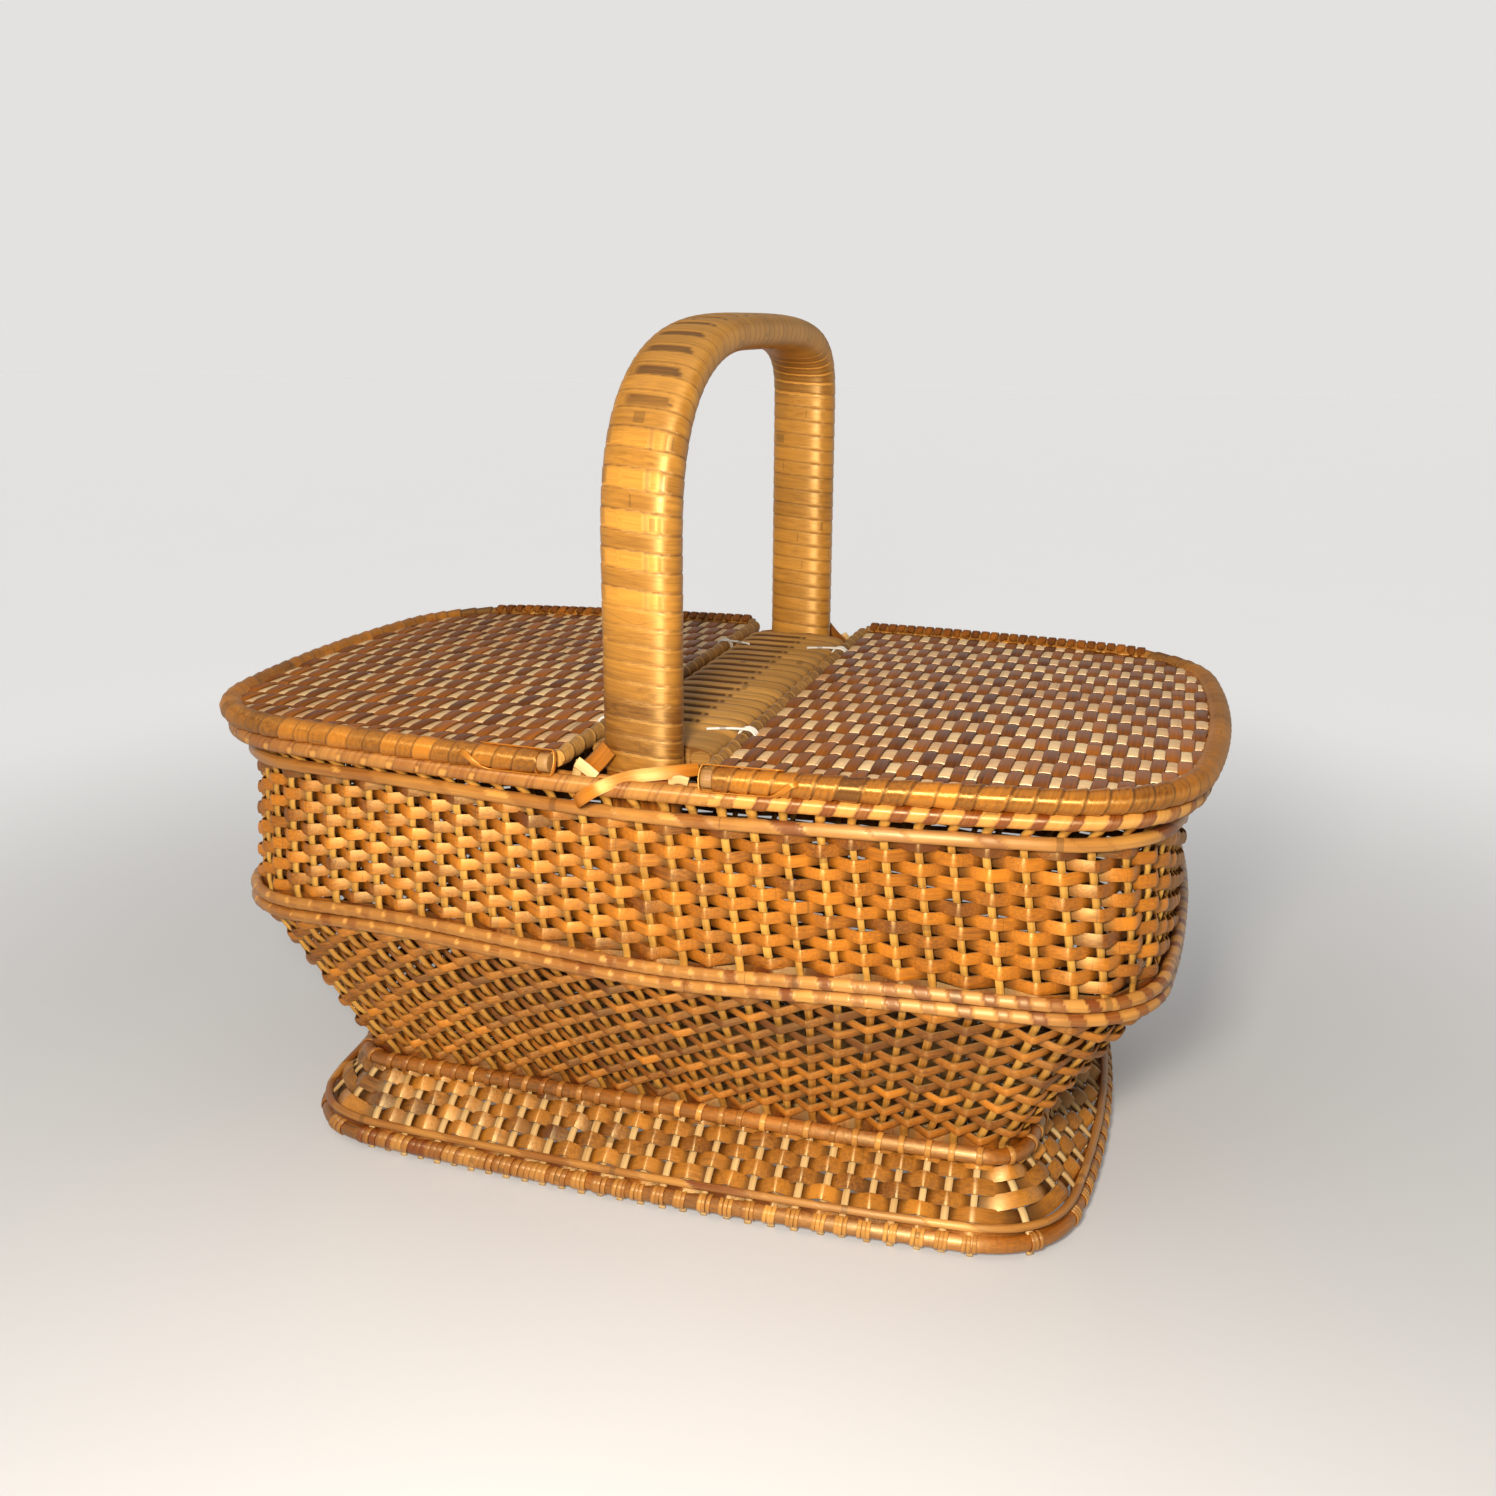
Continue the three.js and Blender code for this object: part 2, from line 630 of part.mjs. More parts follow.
// Half depth of the lid's hoop where it meets the hinge line
const lidSideHalf = BODY_HALF_DEPTH + lidOffset;
const lidHingeHalf = lidSideHalf - TOP_SIDE_BOW * (hingeX / (BODY_HALF_LENGTH - TOP_END_BOW)) ** 2;

// Where a lid's panel starts beside the hinge rod, and its distance to the middle of the hoop
const panelStartX = hingeX + HINGE_ROD_RADIUS + FIT;
const panelInset = lidHoopOuter + FIT;

// One lid: side is 1 on the right and -1 on the left
function lid(label, side) {
  const up = new THREE.Vector3(0, 0, 1);
  const hoopPlan = lidPlan.filter((point) => point.x > hingeX + lidHoopOuter);
  const hoopPoints = [
    new THREE.Vector2(hingeX, -lidHingeHalf),
    ...hoopPlan,
    new THREE.Vector2(hingeX, lidHingeHalf),
  ].map((point) => new THREE.Vector3(point.x, point.y, lidZ));
  const curve = smoothCurve(hoopPoints);
  const section = roundSection(LID_HOOP_RADIUS, THICK_ROD_SIDES);
  addPiece(`lid_hoop_${label}`, rodAlong(curve, up, section, side), CANE);
  addPiece(`lid_hoop_wrap_${label}`, woundStrip(`lid_hoop_wrap_${label}`, {
    curve,
    across: up,
    from: LID_WRAP_INSET,
    to: curve.getLength() - LID_WRAP_INSET,
    turns: LID_TURNS,
    sides: THICK_ROD_SIDES,
    halves: [LID_HOOP_RADIUS, LID_HOOP_RADIUS],
    rounding: ROUND,
    width: LID_STRIP_WIDTH,
    thickness: LID_STRIP,
  }, side), CANE);

  const rodHalf = lidHingeHalf - lidHoopOuter - FIT;
  const rodLine = new THREE.LineCurve3(
    new THREE.Vector3(hingeX, -rodHalf, lidZ),
    new THREE.Vector3(hingeX, rodHalf, lidZ),
  );
  const rodSection = roundSection(HINGE_ROD_RADIUS, HINGE_ROD_SIDES);
  addPiece(`hinge_rod_${label}`, rodAlong(rodLine, acrossHandle, rodSection, side), OLIVE_CANE);

  const block = new THREE.ExtrudeGeometry(panelShape(hoopPlan, side), {
    depth: 2 * PANEL_THICKNESS,
    bevelEnabled: false,
  });
  block.translate(0, 0, lidZ + PANEL_RAISE - PANEL_THICKNESS / 2);
  addPiece(`lid_panel_${label}`, commonSolid(block, panelWeave(side)), DARK_CANE);
}

// Block whose upper face is the lid's weave: strips across the lid go over and under the rows along it.
function panelWeave(side) {
  const reachX = BODY_HALF_LENGTH + lidOffset - panelInset;
  const reachY = lidHingeHalf - panelInset;
  const stripPitch = (reachX - panelStartX) / PANEL_STRIPS;
  const rowPitch = (2 * reachY) / PANEL_ROWS;
  const topZ = lidZ + PANEL_RAISE + PANEL_THICKNESS / 2;
  const bottomZ = topZ - 2 * PANEL_THICKNESS;
  const rings = Array.from({ length: PANEL_STRIPS + 2 }, (_, j) => {
    const x = panelStartX + (j - 0.5) * stripPitch;
    const ring = [new THREE.Vector3(x, reachY + rowPitch / 2, bottomZ)];
    ring.push(new THREE.Vector3(x, -reachY - rowPitch / 2, bottomZ));
    for (let k = 0; k < PANEL_ROWS + 2; k += 1) {
      const over = (j + k) % 2 ? -1 : 1;
      ring.push(new THREE.Vector3(x, -reachY + (k - 0.5) * rowPitch, topZ + over * PANEL_RELIEF));
    }
    return ring;
  });
  return solidFromRings(onSide(rings, side), false);
}

// Outline of a woven lid panel, with a notch in the hinge edge for each tie
function panelShape(hoopPlan, side) {
  const notchX = hingeX + tieOuter + NOTCH_CLEARANCE;
  const notchHalf = (TIE_TURNS * tiePitch) / 2 + STRING_RADIUS + NOTCH_CLEARANCE;
  const innerPlan = offsetOutline(lidPlan, -panelInset).filter((_, i) => hoopPlan.includes(lidPlan[i]));
  const notch = (y) => [
    [panelStartX, y + notchHalf],
    [notchX, y + notchHalf],
    [notchX, y - notchHalf],
    [panelStartX, y - notchHalf],
  ];
  const corners = [
    [panelStartX, -lidHingeHalf + panelInset],
    ...innerPlan.filter((point) => point.x > notchX + panelInset).map((point) => [point.x, point.y]),
    [panelStartX, lidHingeHalf - panelInset],
    ...notch(tieY),
    ...notch(-tieY),
  ];
  return new THREE.Shape(corners.map(([x, y]) => new THREE.Vector2(side * x, y)));
}

// String tie around a hinge rod, with its long end laid over the crossbar
function tie(name, side, y) {
  const section = roundSection(STRING_RADIUS, STRING_SIDES);
  const centres = [{ angle: 0, reach: TIE_TAIL }];
  for (let i = 0; i <= TIE_TURNS * STRING_STEPS; i += 1) {
    centres.push({ angle: (2 * Math.PI * i) / STRING_STEPS, reach: 0 });
  }
  centres.push({ angle: 2 * Math.PI * TIE_TURNS, reach: 2 * STRING_RADIUS });
  const rings = centres.map(({ angle, reach }) => {
    const out = new THREE.Vector3(side * Math.sin(angle), 0, Math.cos(angle));
    const advance = (angle / (2 * Math.PI) - TIE_TURNS / 2) * tiePitch;
    const centre = new THREE.Vector3(side * (hingeX - reach), y + advance, lidZ);
    centre.addScaledVector(out, tieRadius);
    return section.map(([thick, wide]) => (
      centre.clone().addScaledVector(out, thick).add(new THREE.Vector3(0, wide, 0))
    ));
  });
  const turns = rings.slice(1, -1);
  reportTurnGap(name, turns.map((ring) => ring[1]), turns.map((ring) => ring[3]), STRING_STEPS);
  addPiece(name, solidFromRings(rings, false), STRING);
}

lid("left", -1);
lid("right", 1);
tie("tie_left_front", -1, -tieY);
tie("tie_left_back", -1, tieY);
tie("tie_right_front", 1, -tieY);
tie("tie_right_back", 1, tieY);

export default group;
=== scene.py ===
"""Woven cane picnic basket with an arched handle and two hinged lids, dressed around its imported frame.

Metres, +Z up, the length along X and the front towards -Y.
"""
import logging
import math
from dataclasses import dataclass, field
from enum import Enum
from typing import Any, Callable

import bpy
import numpy as np
from mathutils import Matrix, Vector


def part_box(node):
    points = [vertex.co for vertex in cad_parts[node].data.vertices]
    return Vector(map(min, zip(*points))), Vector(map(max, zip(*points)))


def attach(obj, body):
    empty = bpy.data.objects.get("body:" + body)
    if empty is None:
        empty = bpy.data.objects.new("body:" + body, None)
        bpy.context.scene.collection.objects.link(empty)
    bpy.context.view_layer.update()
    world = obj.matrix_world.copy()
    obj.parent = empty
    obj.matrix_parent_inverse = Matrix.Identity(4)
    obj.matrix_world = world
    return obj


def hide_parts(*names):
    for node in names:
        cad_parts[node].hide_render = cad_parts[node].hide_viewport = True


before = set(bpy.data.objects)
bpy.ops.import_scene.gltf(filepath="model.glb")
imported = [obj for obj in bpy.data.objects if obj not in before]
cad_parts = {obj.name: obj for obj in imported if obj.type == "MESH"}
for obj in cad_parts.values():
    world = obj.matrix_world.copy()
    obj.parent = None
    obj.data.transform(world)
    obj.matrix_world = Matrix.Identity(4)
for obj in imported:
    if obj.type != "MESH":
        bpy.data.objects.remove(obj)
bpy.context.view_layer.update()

LOG = logging.getLogger("picnic_basket")
MM = 0.001
Points = np.ndarray
Marks = list[tuple[float, float, float]]
Levels = list[tuple[float, "Loop"]]
Colour = tuple[float, float, float, float]
Socket = bpy.types.NodeSocket | float | Colour
Pattern = Callable[[Points, Points], tuple[Points, Points]]
JOINT_COLOUR: Colour = (0.07, 0.025, 0.006, 1.0)
EDGE_COLOUR: Colour = (0.16, 0.062, 0.014, 1.0)
# Colour mixed in where the tuck attribute is high: painted shade in recesses and on strands' backs, with
# some real soiling.
SHADE_AND_DIRT_COLOUR: Colour = (0.085, 0.026, 0.004, 1.0)
PALE_STUDIO: Colour = (1.0, 0.99, 0.975, 1.0)
WoundPattern = Callable[[Points, Points, Points, Points], tuple[Points, ...]]


class Side(Enum):
    """The two lids, by the direction in which they lie from the handle."""

    LEFT = -1
    RIGHT = 1


class Section(Enum):
    """Sections of a strand, as points across its width and out of its face, in shares of its size."""

    FLAT = (
        (0.5, 0.0), (0.42, 0.4), (0.0, 0.5), (-0.42, 0.4),
        (-0.5, 0.0), (-0.42, -0.4), (0.0, -0.5), (0.42, -0.4),
    )
    LEAN = ((0.5, 0.0), (0.3, 0.5), (-0.3, 0.5), (-0.5, 0.0), (-0.3, -0.5), (0.3, -0.5))
    CRISP = (
        (0.5, 0.0), (0.33, 0.28), (0.12, 0.46), (-0.12, 0.46),
        (-0.33, 0.28), (-0.5, 0.0), (-0.5, -0.5), (0.5, -0.5),
    )
    ROUND = tuple((math.cos(k * math.pi / 5) / 2, math.sin(k * math.pi / 5) / 2) for k in range(10))

    def points(self) -> Points:
        """The section as an array."""
        return np.array(self.value)

    def corners(self) -> Points:
        """Which of its points are sharp edges of the strand."""
        return (np.abs(self.points()[:, 0]) == 0.5) & (self is Section.CRISP)


def unit(vectors: Points) -> Points:
    """Vectors of length one, along the last axis."""
    return vectors / np.maximum(np.linalg.norm(vectors, axis=-1, keepdims=True), 1e-12)


def distances(points: Points) -> Points:
    """Distance of each point along a line of points."""
    steps = np.linalg.norm(np.diff(points, axis=0), axis=1)
    return np.concatenate([[0.0], np.cumsum(steps)])


def read_off(places: Points, run: Points, table: Points) -> Points:
    """Rows of a table at places between its distances.

    Args:
        places: the distances that are asked for.
        run: the table's own distances.
        table: its rows.

    Returns:
        One row for each place.
    """
    return np.stack([np.interp(places, run, column) for column in table.T], axis=-1)


def smoothed(line: Points, rounds: int) -> Points:
    """A line of points with its bends rounded and its ends kept.

    Args:
        line: the points.
        rounds: how often they are averaged with their neighbours.

    Returns:
        The smooth line.
    """
    line = line.copy()
    for _ in range(rounds):
        line[1:-1] = (line[:-2] + 2 * line[1:-1] + line[2:]) / 4
    return line


def linear(code: int) -> Colour:
    """Linear colour of a display colour.

    Args:
        code: the display colour as 0xRRGGBB.

    Returns:
        Red, green, blue and an alpha of one.
    """
    shares = [((code >> shift) & 255) / 255 for shift in (16, 8, 0)]
    values = [s / 12.92 if s <= 0.04045 else ((s + 0.055) / 1.055) ** 2.4 for s in shares]
    return (*values, 1.0)


def crest(phase: Points, sharpness: float = 0.92) -> Points:
    """Wave of a strip pulled tight over and under: straight runs with rounded crests.

    Args:
        phase: angle, with a crest at zero and a trough at pi.
        sharpness: from 0, a plain cosine, towards 1, a zigzag.

    Returns:
        Heights from -1 to 1.
    """
    return np.arcsin(sharpness * np.cos(phase)) / math.asin(sharpness)


def plateau(phase: Points, hold: float = 1.8) -> Points:
    """Wave of a strip that lies flat over and under wide strips, and dips quickly between them."""
    return np.tanh(hold * np.cos(phase)) / math.tanh(hold)


def taut(steps: Points, flat: float = 0.06) -> Points:
    """Wave of a stiff strip drawn tight: flat over each stake and straight between them.

    Args:
        steps: places counted in stakes, over at even numbers and under at odd ones.
        flat: half of the flat part, as a share of the distance between stakes.

    Returns:
        Heights from -1 to 1.
    """
    near = np.abs(np.mod(steps + 1, 2) - 1)
    return np.clip((1 - 2 * near) / (1 - 2 * flat), -1, 1)


def ramp(values: Points, low: float, high: float) -> Points:
    """Smooth step from 0 at the low value to 1 at the high one."""
    t = np.clip((np.asarray(values, float) - low) / (high - low), 0, 1)
    return t * t * (3 - 2 * t)


def drift(share: Points, seed: int, waves: int = 9) -> Points:
    """Slow hand-made unevenness around a loop.

    Args:
        share: shares of the loop's length.
        seed: number that fixes the random phases.
        waves: how many waves are added up.

    Returns:
        Values of about -1 to 1, the same at both ends of the loop.
    """
    rng = np.random.default_rng(seed)
    total = np.zeros_like(np.asarray(share, float))
    for k in range(2, 2 + waves):
        total += rng.uniform(0.4, 1.0) * np.sin(2 * math.pi * k * share + rng.uniform(0, 2 * math.pi))
    return total / math.sqrt(waves)


class Loop:
    """Closed curve in plan, measured by shares of its length from the middle of the front, towards +X."""

    def __init__(self, points: Points, even: bool = False) -> None:
        """Measures the curve.

        Args:
            points: closely spaced points, counter-clockwise seen from above, without the first repeated.
            even: whether the shares count the points instead of the length.
        """
        ahead, behind = np.roll(points, -1, axis=0), np.roll(points, 1, axis=0)
        tangent = unit(ahead - behind)
        self.points = points
        self.normals = np.stack([tangent[:, 1], -tangent[:, 0]], axis=1)
        steps = np.linalg.norm(ahead - points, axis=1)
        self.length = float(steps.sum())
        self._shares = np.concatenate([[0.0], np.cumsum(steps)]) / self.length
        if even:
            self._shares = np.linspace(0, 1, len(points) + 1)

    def _read(self, table: Points, share: Points) -> Points:
        """Values of a table of points at shares of the length."""
        closed = np.vstack([table, table[:1]])
        wrapped = np.mod(share, 1.0)
        return np.stack([np.interp(wrapped, self._shares, closed[:, i]) for i in range(2)], axis=-1)

    def at(self, share: Points) -> Points:
        """Points at shares of the length."""
        return self._read(self.points, np.asarray(share, float))

    def out(self, share: Points) -> Points:
        """Outward directions at shares of the length."""
        return unit(self._read(self.normals, np.asarray(share, float)))

    def grown(self, distance: float) -> "Loop":
        """The loop moved outwards by a distance."""
        return Loop(self.points + self.normals * distance)

    def facing(self, inner: "Loop", count: int = 600) -> "Loop":
        """The loop with its shares taken from where an inner loop faces it.

        Args:
            inner: the loop inside this one.
            count: the number of points.

        Returns:
            The same curve, measured by the inner loop's shares.
        """
        share = np.linspace(0, 1, count, endpoint=False)
        start, out = inner.at(share), inner.out(share)
        fine = self.at(np.linspace(0, 1, 6000, endpoint=False))
        reach = fine[None] - start[:, None]
        ahead = np.einsum("ijk,ik->ij", reach, out)
        aside = np.abs(reach[..., 0] * out[:, None, 1] - reach[..., 1] * out[:, None, 0])
        nearest = np.where(ahead > 0, aside, np.inf).argmin(axis=1)
        return Loop(fine[nearest], even=True)

    def half_depth(self, x: Points) -> Points:
        """Half of the loop's depth at places along its length."""
        front = self.points[self.points[:, 1] < 0]
        order = np.argsort(front[:, 0])
        return -np.interp(x, front[order, 0], front[order, 1])

    def half_length(self, y: Points) -> Points:
        """Half of the loop's length at places along its depth."""
        right = self.points[self.points[:, 0] > 0]
        order = np.argsort(right[:, 1])
        return np.interp(y, right[order, 1], right[order, 0])


@dataclass(frozen=True)
class Plan:
    """Plan of a level of the wall: four bowed sides with rounded corners between them."""

    half_length: float
    half_depth: float
    side_bow: float
    end_bow: float
    corner: float
    fineness: int = 120

    def loop(self) -> Loop:
        """The plan as a measured loop that starts at the middle of the front."""
        x, y = self.half_length - self.end_bow, self.half_depth - self.side_bow
        corners = np.array([(-x, -y), (x, -y), (x, y), (-x, y)])
        bulges = np.array([(0, -self.side_bow), (self.end_bow, 0), (0, self.side_bow), (-self.end_bow, 0)])
        starts, ends = corners, np.roll(corners, -1, axis=0)
        pulls = (starts + ends) / 2 + 2 * bulges

        def spot(i: int, t: Points) -> Points:
            """Points of a bowed side at shares of it."""
            t = np.asarray(t, float)[..., None]
            return (1 - t) ** 2 * starts[i] + 2 * t * (1 - t) * pulls[i] + t ** 2 * ends[i]

        def heading(i: int, t: float) -> Points:
            """Direction of a bowed side at a share of it."""
            return unit((1 - t) * (pulls[i] - starts[i]) + t * (ends[i] - pulls[i]))

        samples = np.linspace(0, 1, self.fineness)
        cuts = [self.corner / distances(spot(i, samples))[-1] for i in range(4)]
        pieces = []
        for i in range(4):
            j = (i + 1) % 4
            pieces.append(spot(i, np.linspace(cuts[i], 1 - cuts[i], self.fineness, endpoint=False)))
            leave, arrive = spot(i, 1 - cuts[i]), spot(j, cuts[j])
            one, two = heading(i, 1 - cuts[i]), heading(j, cuts[j])
            reach = np.linalg.solve(np.stack([one, -two], axis=1), arrive - leave)[0]
            t = np.linspace(0, 1, self.fineness // 4, endpoint=False)[:, None]
            meeting = leave + reach * one
            pieces.append((1 - t) ** 2 * leave + 2 * t * (1 - t) * meeting + t ** 2 * arrive)
        points = np.vstack(pieces)
        return Loop(np.roll(points, -(self.fineness // 2), axis=0))


class WallSurface:
    """Middle surface of the woven wall, from the ground to the rim, through plans at heights."""

    def __init__(self, levels: Levels, softness: float) -> None:
        """Keeps the levels.

        Args:
            levels: heights from low to high, each with its loop.
            softness: how far a bend between two stretches is rounded, up and down.
        """
        self.heights = np.array([z for z, _ in levels])
        self.loops = [loop for _, loop in levels]
        self.softness = softness

    def _plan(self, share: Points, z: Points) -> Points:
        """Plan points where the wall is made of straight stretches."""
        stack = np.stack([loop.at(share) for loop in self.loops])
        z = np.clip(z, self.heights[0], self.heights[-1])
        low = np.clip(np.searchsorted(self.heights, z, side="right") - 1, 0, len(self.loops) - 2)
        t = (z - self.heights[low]) / (self.heights[low + 1] - self.heights[low])
        index = np.arange(stack.shape[1])
        return stack[low, index] * (1 - t)[:, None] + stack[low + 1, index] * t[:, None]

    def at(self, share: Points, z: Points) -> Points:
        """Points of the surface at shares around it and at heights, as flat arrays of one length."""
        share, z = np.broadcast_arrays(np.asarray(share, float), np.asarray(z, float))
        plan = sum(self._plan(share, z + shift) for shift in (-self.softness, 0.0, self.softness)) / 3
        return np.column_stack([plan, z])

    def out(self, share: Points, z: Points) -> Points:
        """Outward directions of the surface."""
        step = 0.002
        rise = 0.0015
        share, z = np.broadcast_arrays(np.asarray(share, float), np.asarray(z, float))
        along = self.at(share + step, z) - self.at(share - step, z)
        upward = self.at(share, z + rise) - self.at(share, z - rise)
        return unit(np.cross(along, upward))


class StrandMesh:
    """Gathers strands, each one closed body along a path, into one mesh with strand coordinates.

    Every strand carries a UV map, with the distance along it and the share across it, and two
    attributes: its tone, and how far it is tucked under its neighbours, which the materials paint as shade.
    """

    def __init__(self, name: str) -> None:
        """Starts an empty mesh with the piece's name."""
        self.name = name
        self._parts: list[dict[str, Points]] = []
        self._count = 0

    def strand(
        self,
        path: Points,
        face: Points,
        width: float | Points,
        thickness: float | Points,
        tone: float | Points = 0.5,
        tuck: float | Points = 0.0,
        section: Section = Section.FLAT,
        finish: int = 0,
        shade: float = 0.0,
    ) -> None:
        """Adds one strand.

        Args:
            path: the points that its middle follows.
            face: the direction that its broad face looks in, at each point.
            width: its width, all along or at each point.
            thickness: its thickness, all along or at each point.
            tone: its place between the deep and the pale colour of its finish.
            tuck: how far it is hidden under its neighbours, from 0 to 1, painted as shade.
            section: the shape of its section.
            finish: the number of its finish among those of the piece.
            shade: how much painted shade darkens the strand on its back.
        """
        count = len(path)
        along = unit(np.gradient(path, axis=0))
        side = unit(np.cross(along, face))
        lift = np.cross(side, along)
        shape = section.points()
        across = shape[:, 0] * np.broadcast_to(np.asarray(width, float), (count,))[:, None]
        height = shape[:, 1] * np.broadcast_to(np.asarray(thickness, float), (count,))[:, None]
        rings = path[:, None] + side[:, None] * across[..., None] + lift[:, None] * height[..., None]
        run = distances(path)
        tone = np.broadcast_to(np.asarray(tone, float), (count,))[:, None]
        tuck = np.broadcast_to(np.asarray(tuck, float), (count,))[:, None]
        # Painted shade on the strand's back face, from the shade argument.
        tuck = np.maximum(tuck, np.where(shape[None, :, 1] < -0.3, shade, 0.0))
        self.join(rings, run[:, None], shape[None, :, 0] + 0.5, tone, tuck, finish, section.corners())

    def sleeve(self, rod: "Rod", radius: float, pattern: Pattern, sides: int = 14, finish: int = 0) -> None:
        """Adds a smooth rod whose tone and swelling follow a pattern.

        Args:
            rod: the rod's line.
            radius: its radius.
            pattern: gives the tone and the swelling at distances along the rod and angles around it.
            sides: the number of faces around it.
            finish: the number of its finish among those of the piece.
        """
        angle = np.linspace(0, 2 * math.pi, sides, endpoint=False)
        signed = np.where(angle > math.pi, angle - 2 * math.pi, angle)
        tone, swelling = pattern(rod.run[:, None], signed[None])
        side = unit(np.cross(unit(np.gradient(rod.points, axis=0)), rod.out))
        outward = rod.out[:, None] * np.cos(angle)[None, :, None]
        around = outward - side[:, None] * np.sin(angle)[None, :, None]
        rings = rod.points[:, None] + around * (radius * swelling)[..., None]
        share = np.abs(angle / math.pi - 1)
        self.join(rings, rod.run[:, None], share[None], tone, np.zeros_like(tone), finish)

    def join(
        self,
        rings: Points,
        run: Points,
        across: Points,
        tone: Points,
        tuck: Points,
        finish: int = 0,
        corners: Points | bool = False,
    ) -> None:
        """Joins rings of points into one closed body.

        Args:
            rings: the points, by ring and place in the ring.
            run: the distance along the fibres, by ring and place.
            across: the share across the fibres, by ring and place.
            tone: the tone, by ring and place.
            tuck: how far it is tucked under its neighbours, by ring and place, painted as shade.
            finish: the number of its finish.
            corners: which places of a ring are sharp edges along the strand.
        """
        count, sides = rings.shape[:2]
        ring = np.arange(count - 1)[:, None] * sides
        j = np.arange(sides)[None]
        k = (j + 1) % sides
        quads = np.stack([ring + j, ring + sides + j, ring + sides + k, ring + k], axis=-1).reshape(-1, 4)
        last = (count - 1) * sides
        caps = np.stack([np.arange(sides), last + np.arange(sides)[::-1]])
        shape = (count, sides)
        places = np.column_stack([np.broadcast_to(values, shape).ravel() for values in (run, across)])
        self._parts.append({
            "corners": rings.reshape(-1, 3),
            "quads": quads + self._count,
            "caps": caps + self._count,
            "uv": np.vstack([places[quads.ravel()], self.cut_end(rings[0]), self.cut_end(rings[-1])[::-1]]),
            "tone": np.broadcast_to(tone, shape).ravel(),
            "tuck": np.broadcast_to(tuck, shape).ravel(),
            "finish": np.full(len(quads) + len(caps), finish),
            "stride": np.broadcast_to(np.where(corners, sides, 0), shape).ravel(),
        })
        self._count += count * sides

    @staticmethod
    def cut_end(ring: Points) -> Points:
        """Places of a ring's points across the strand's cut end."""
        offsets = ring - ring.mean(axis=0)
        one = unit(offsets[0])
        two = offsets[len(ring) // 4]
        two = unit(two - one * (two @ one))
        return np.column_stack([offsets @ one, 0.5 + 100 * (offsets @ two)])

    def build(self, finishes: list["Finish"]) -> bpy.types.Object:
        """Makes the piece.

        Args:
            finishes: the finishes that the strands' numbers name.

        Returns:
            The new object, at the origin.
        """
        keys = ("corners", "tone", "tuck", "stride")
        joined = {key: np.concatenate([part[key] for part in self._parts]) for key in keys}
        faces = [face for part in self._parts for face in (part["quads"], part["caps"])]
        totals = np.concatenate([np.full(len(face), face.shape[1]) for face in faces])
        loops = np.concatenate([face.ravel() for face in faces])
        mesh = bpy.data.meshes.new(self.name)
        mesh.vertices.add(len(joined["corners"]))
        mesh.vertices.foreach_set("co", joined["corners"].astype(np.float32).ravel())
        mesh.loops.add(len(loops))
        mesh.loops.foreach_set("vertex_index", loops.astype(np.int32))
        mesh.polygons.add(len(totals))
        starts = np.cumsum(totals) - totals
        mesh.polygons.foreach_set("loop_start", starts.astype(np.int32))
        mesh.polygons.foreach_set("loop_total", totals.astype(np.int32))
        numbers = np.concatenate([part["finish"] for part in self._parts])
        mesh.polygons.foreach_set("material_index", numbers.astype(np.int32))
        mesh.polygons.foreach_set("use_smooth", totals == 4)
        layer = mesh.uv_layers.new(name="strand")
        places = np.concatenate([part["uv"] for part in self._parts])
        layer.data.foreach_set("uv", places.astype(np.float32).ravel())
        for key in ("tone", "tuck"):
            attribute = mesh.attributes.new(key, "FLOAT", "POINT")
            attribute.data.foreach_set("value", joined[key].astype(np.float32))
        mesh.update(calc_edges=True)
        ends = np.empty(2 * len(mesh.edges), np.int32)
        mesh.edges.foreach_get("vertices", ends)
        ends = ends.reshape(-1, 2)
        sharp = np.abs(ends[:, 0] - ends[:, 1]) == joined["stride"][ends[:, 0]]
        mesh.attributes.new("sharp_edge", "BOOLEAN", "EDGE").data.foreach_set("value", sharp)
        for finish in finishes:
            mesh.materials.append(finish.material())
        piece = bpy.data.objects.new(self.name, mesh)
        bpy.context.scene.collection.objects.link(piece)
        return piece


class Graph:
    """Short way to add and link shader nodes in one tree."""

    def __init__(self, tree: bpy.types.NodeTree) -> None:
        """Keeps the tree."""
        self.tree = tree

    def node(
        self,
        kind: str,
        inputs: dict[str | int, Socket] | None = None,
        **settings: Any,
    ) -> bpy.types.Node:
        """Adds a node.

        Args:
            kind: the node's type name.
            inputs: values, or sockets to link, by the input's name or number.
            settings: properties of the node.

        Returns:
            The new node.
        """
        made = self.tree.nodes.new(kind)
        for key, value in settings.items():
            setattr(made, key, value)
        for key, value in (inputs or {}).items():
            if isinstance(value, bpy.types.NodeSocket):
                self.tree.links.new(value, made.inputs[key])
            else:
                made.inputs[key].default_value = value
        return made

    def math(self, operation: str, *values: Socket, clamp: bool = False) -> bpy.types.NodeSocket:
        """Output of a math node on sockets or numbers."""
        made = self.node("ShaderNodeMath", dict(enumerate(values)), operation=operation, use_clamp=clamp)
        return made.outputs[0]

    def mix(self, share: Socket, one: Socket, two: Socket, blend: str = "MIX") -> bpy.types.NodeSocket:
        """Colour output of a mix node.

        Args:
            share: the second colour's share.
            one: the first colour.
            two: the second colour.
            blend: how the two are mixed.

        Returns:
            The mixed colour.
        """
        made = self.node("ShaderNodeMix", data_type="RGBA", blend_type=blend)
        for number, value in ((0, share), (6, one), (7, two)):
            if isinstance(value, bpy.types.NodeSocket):
                self.tree.links.new(value, made.inputs[number])
            else:
                made.inputs[number].default_value = value
        return made.outputs[2]


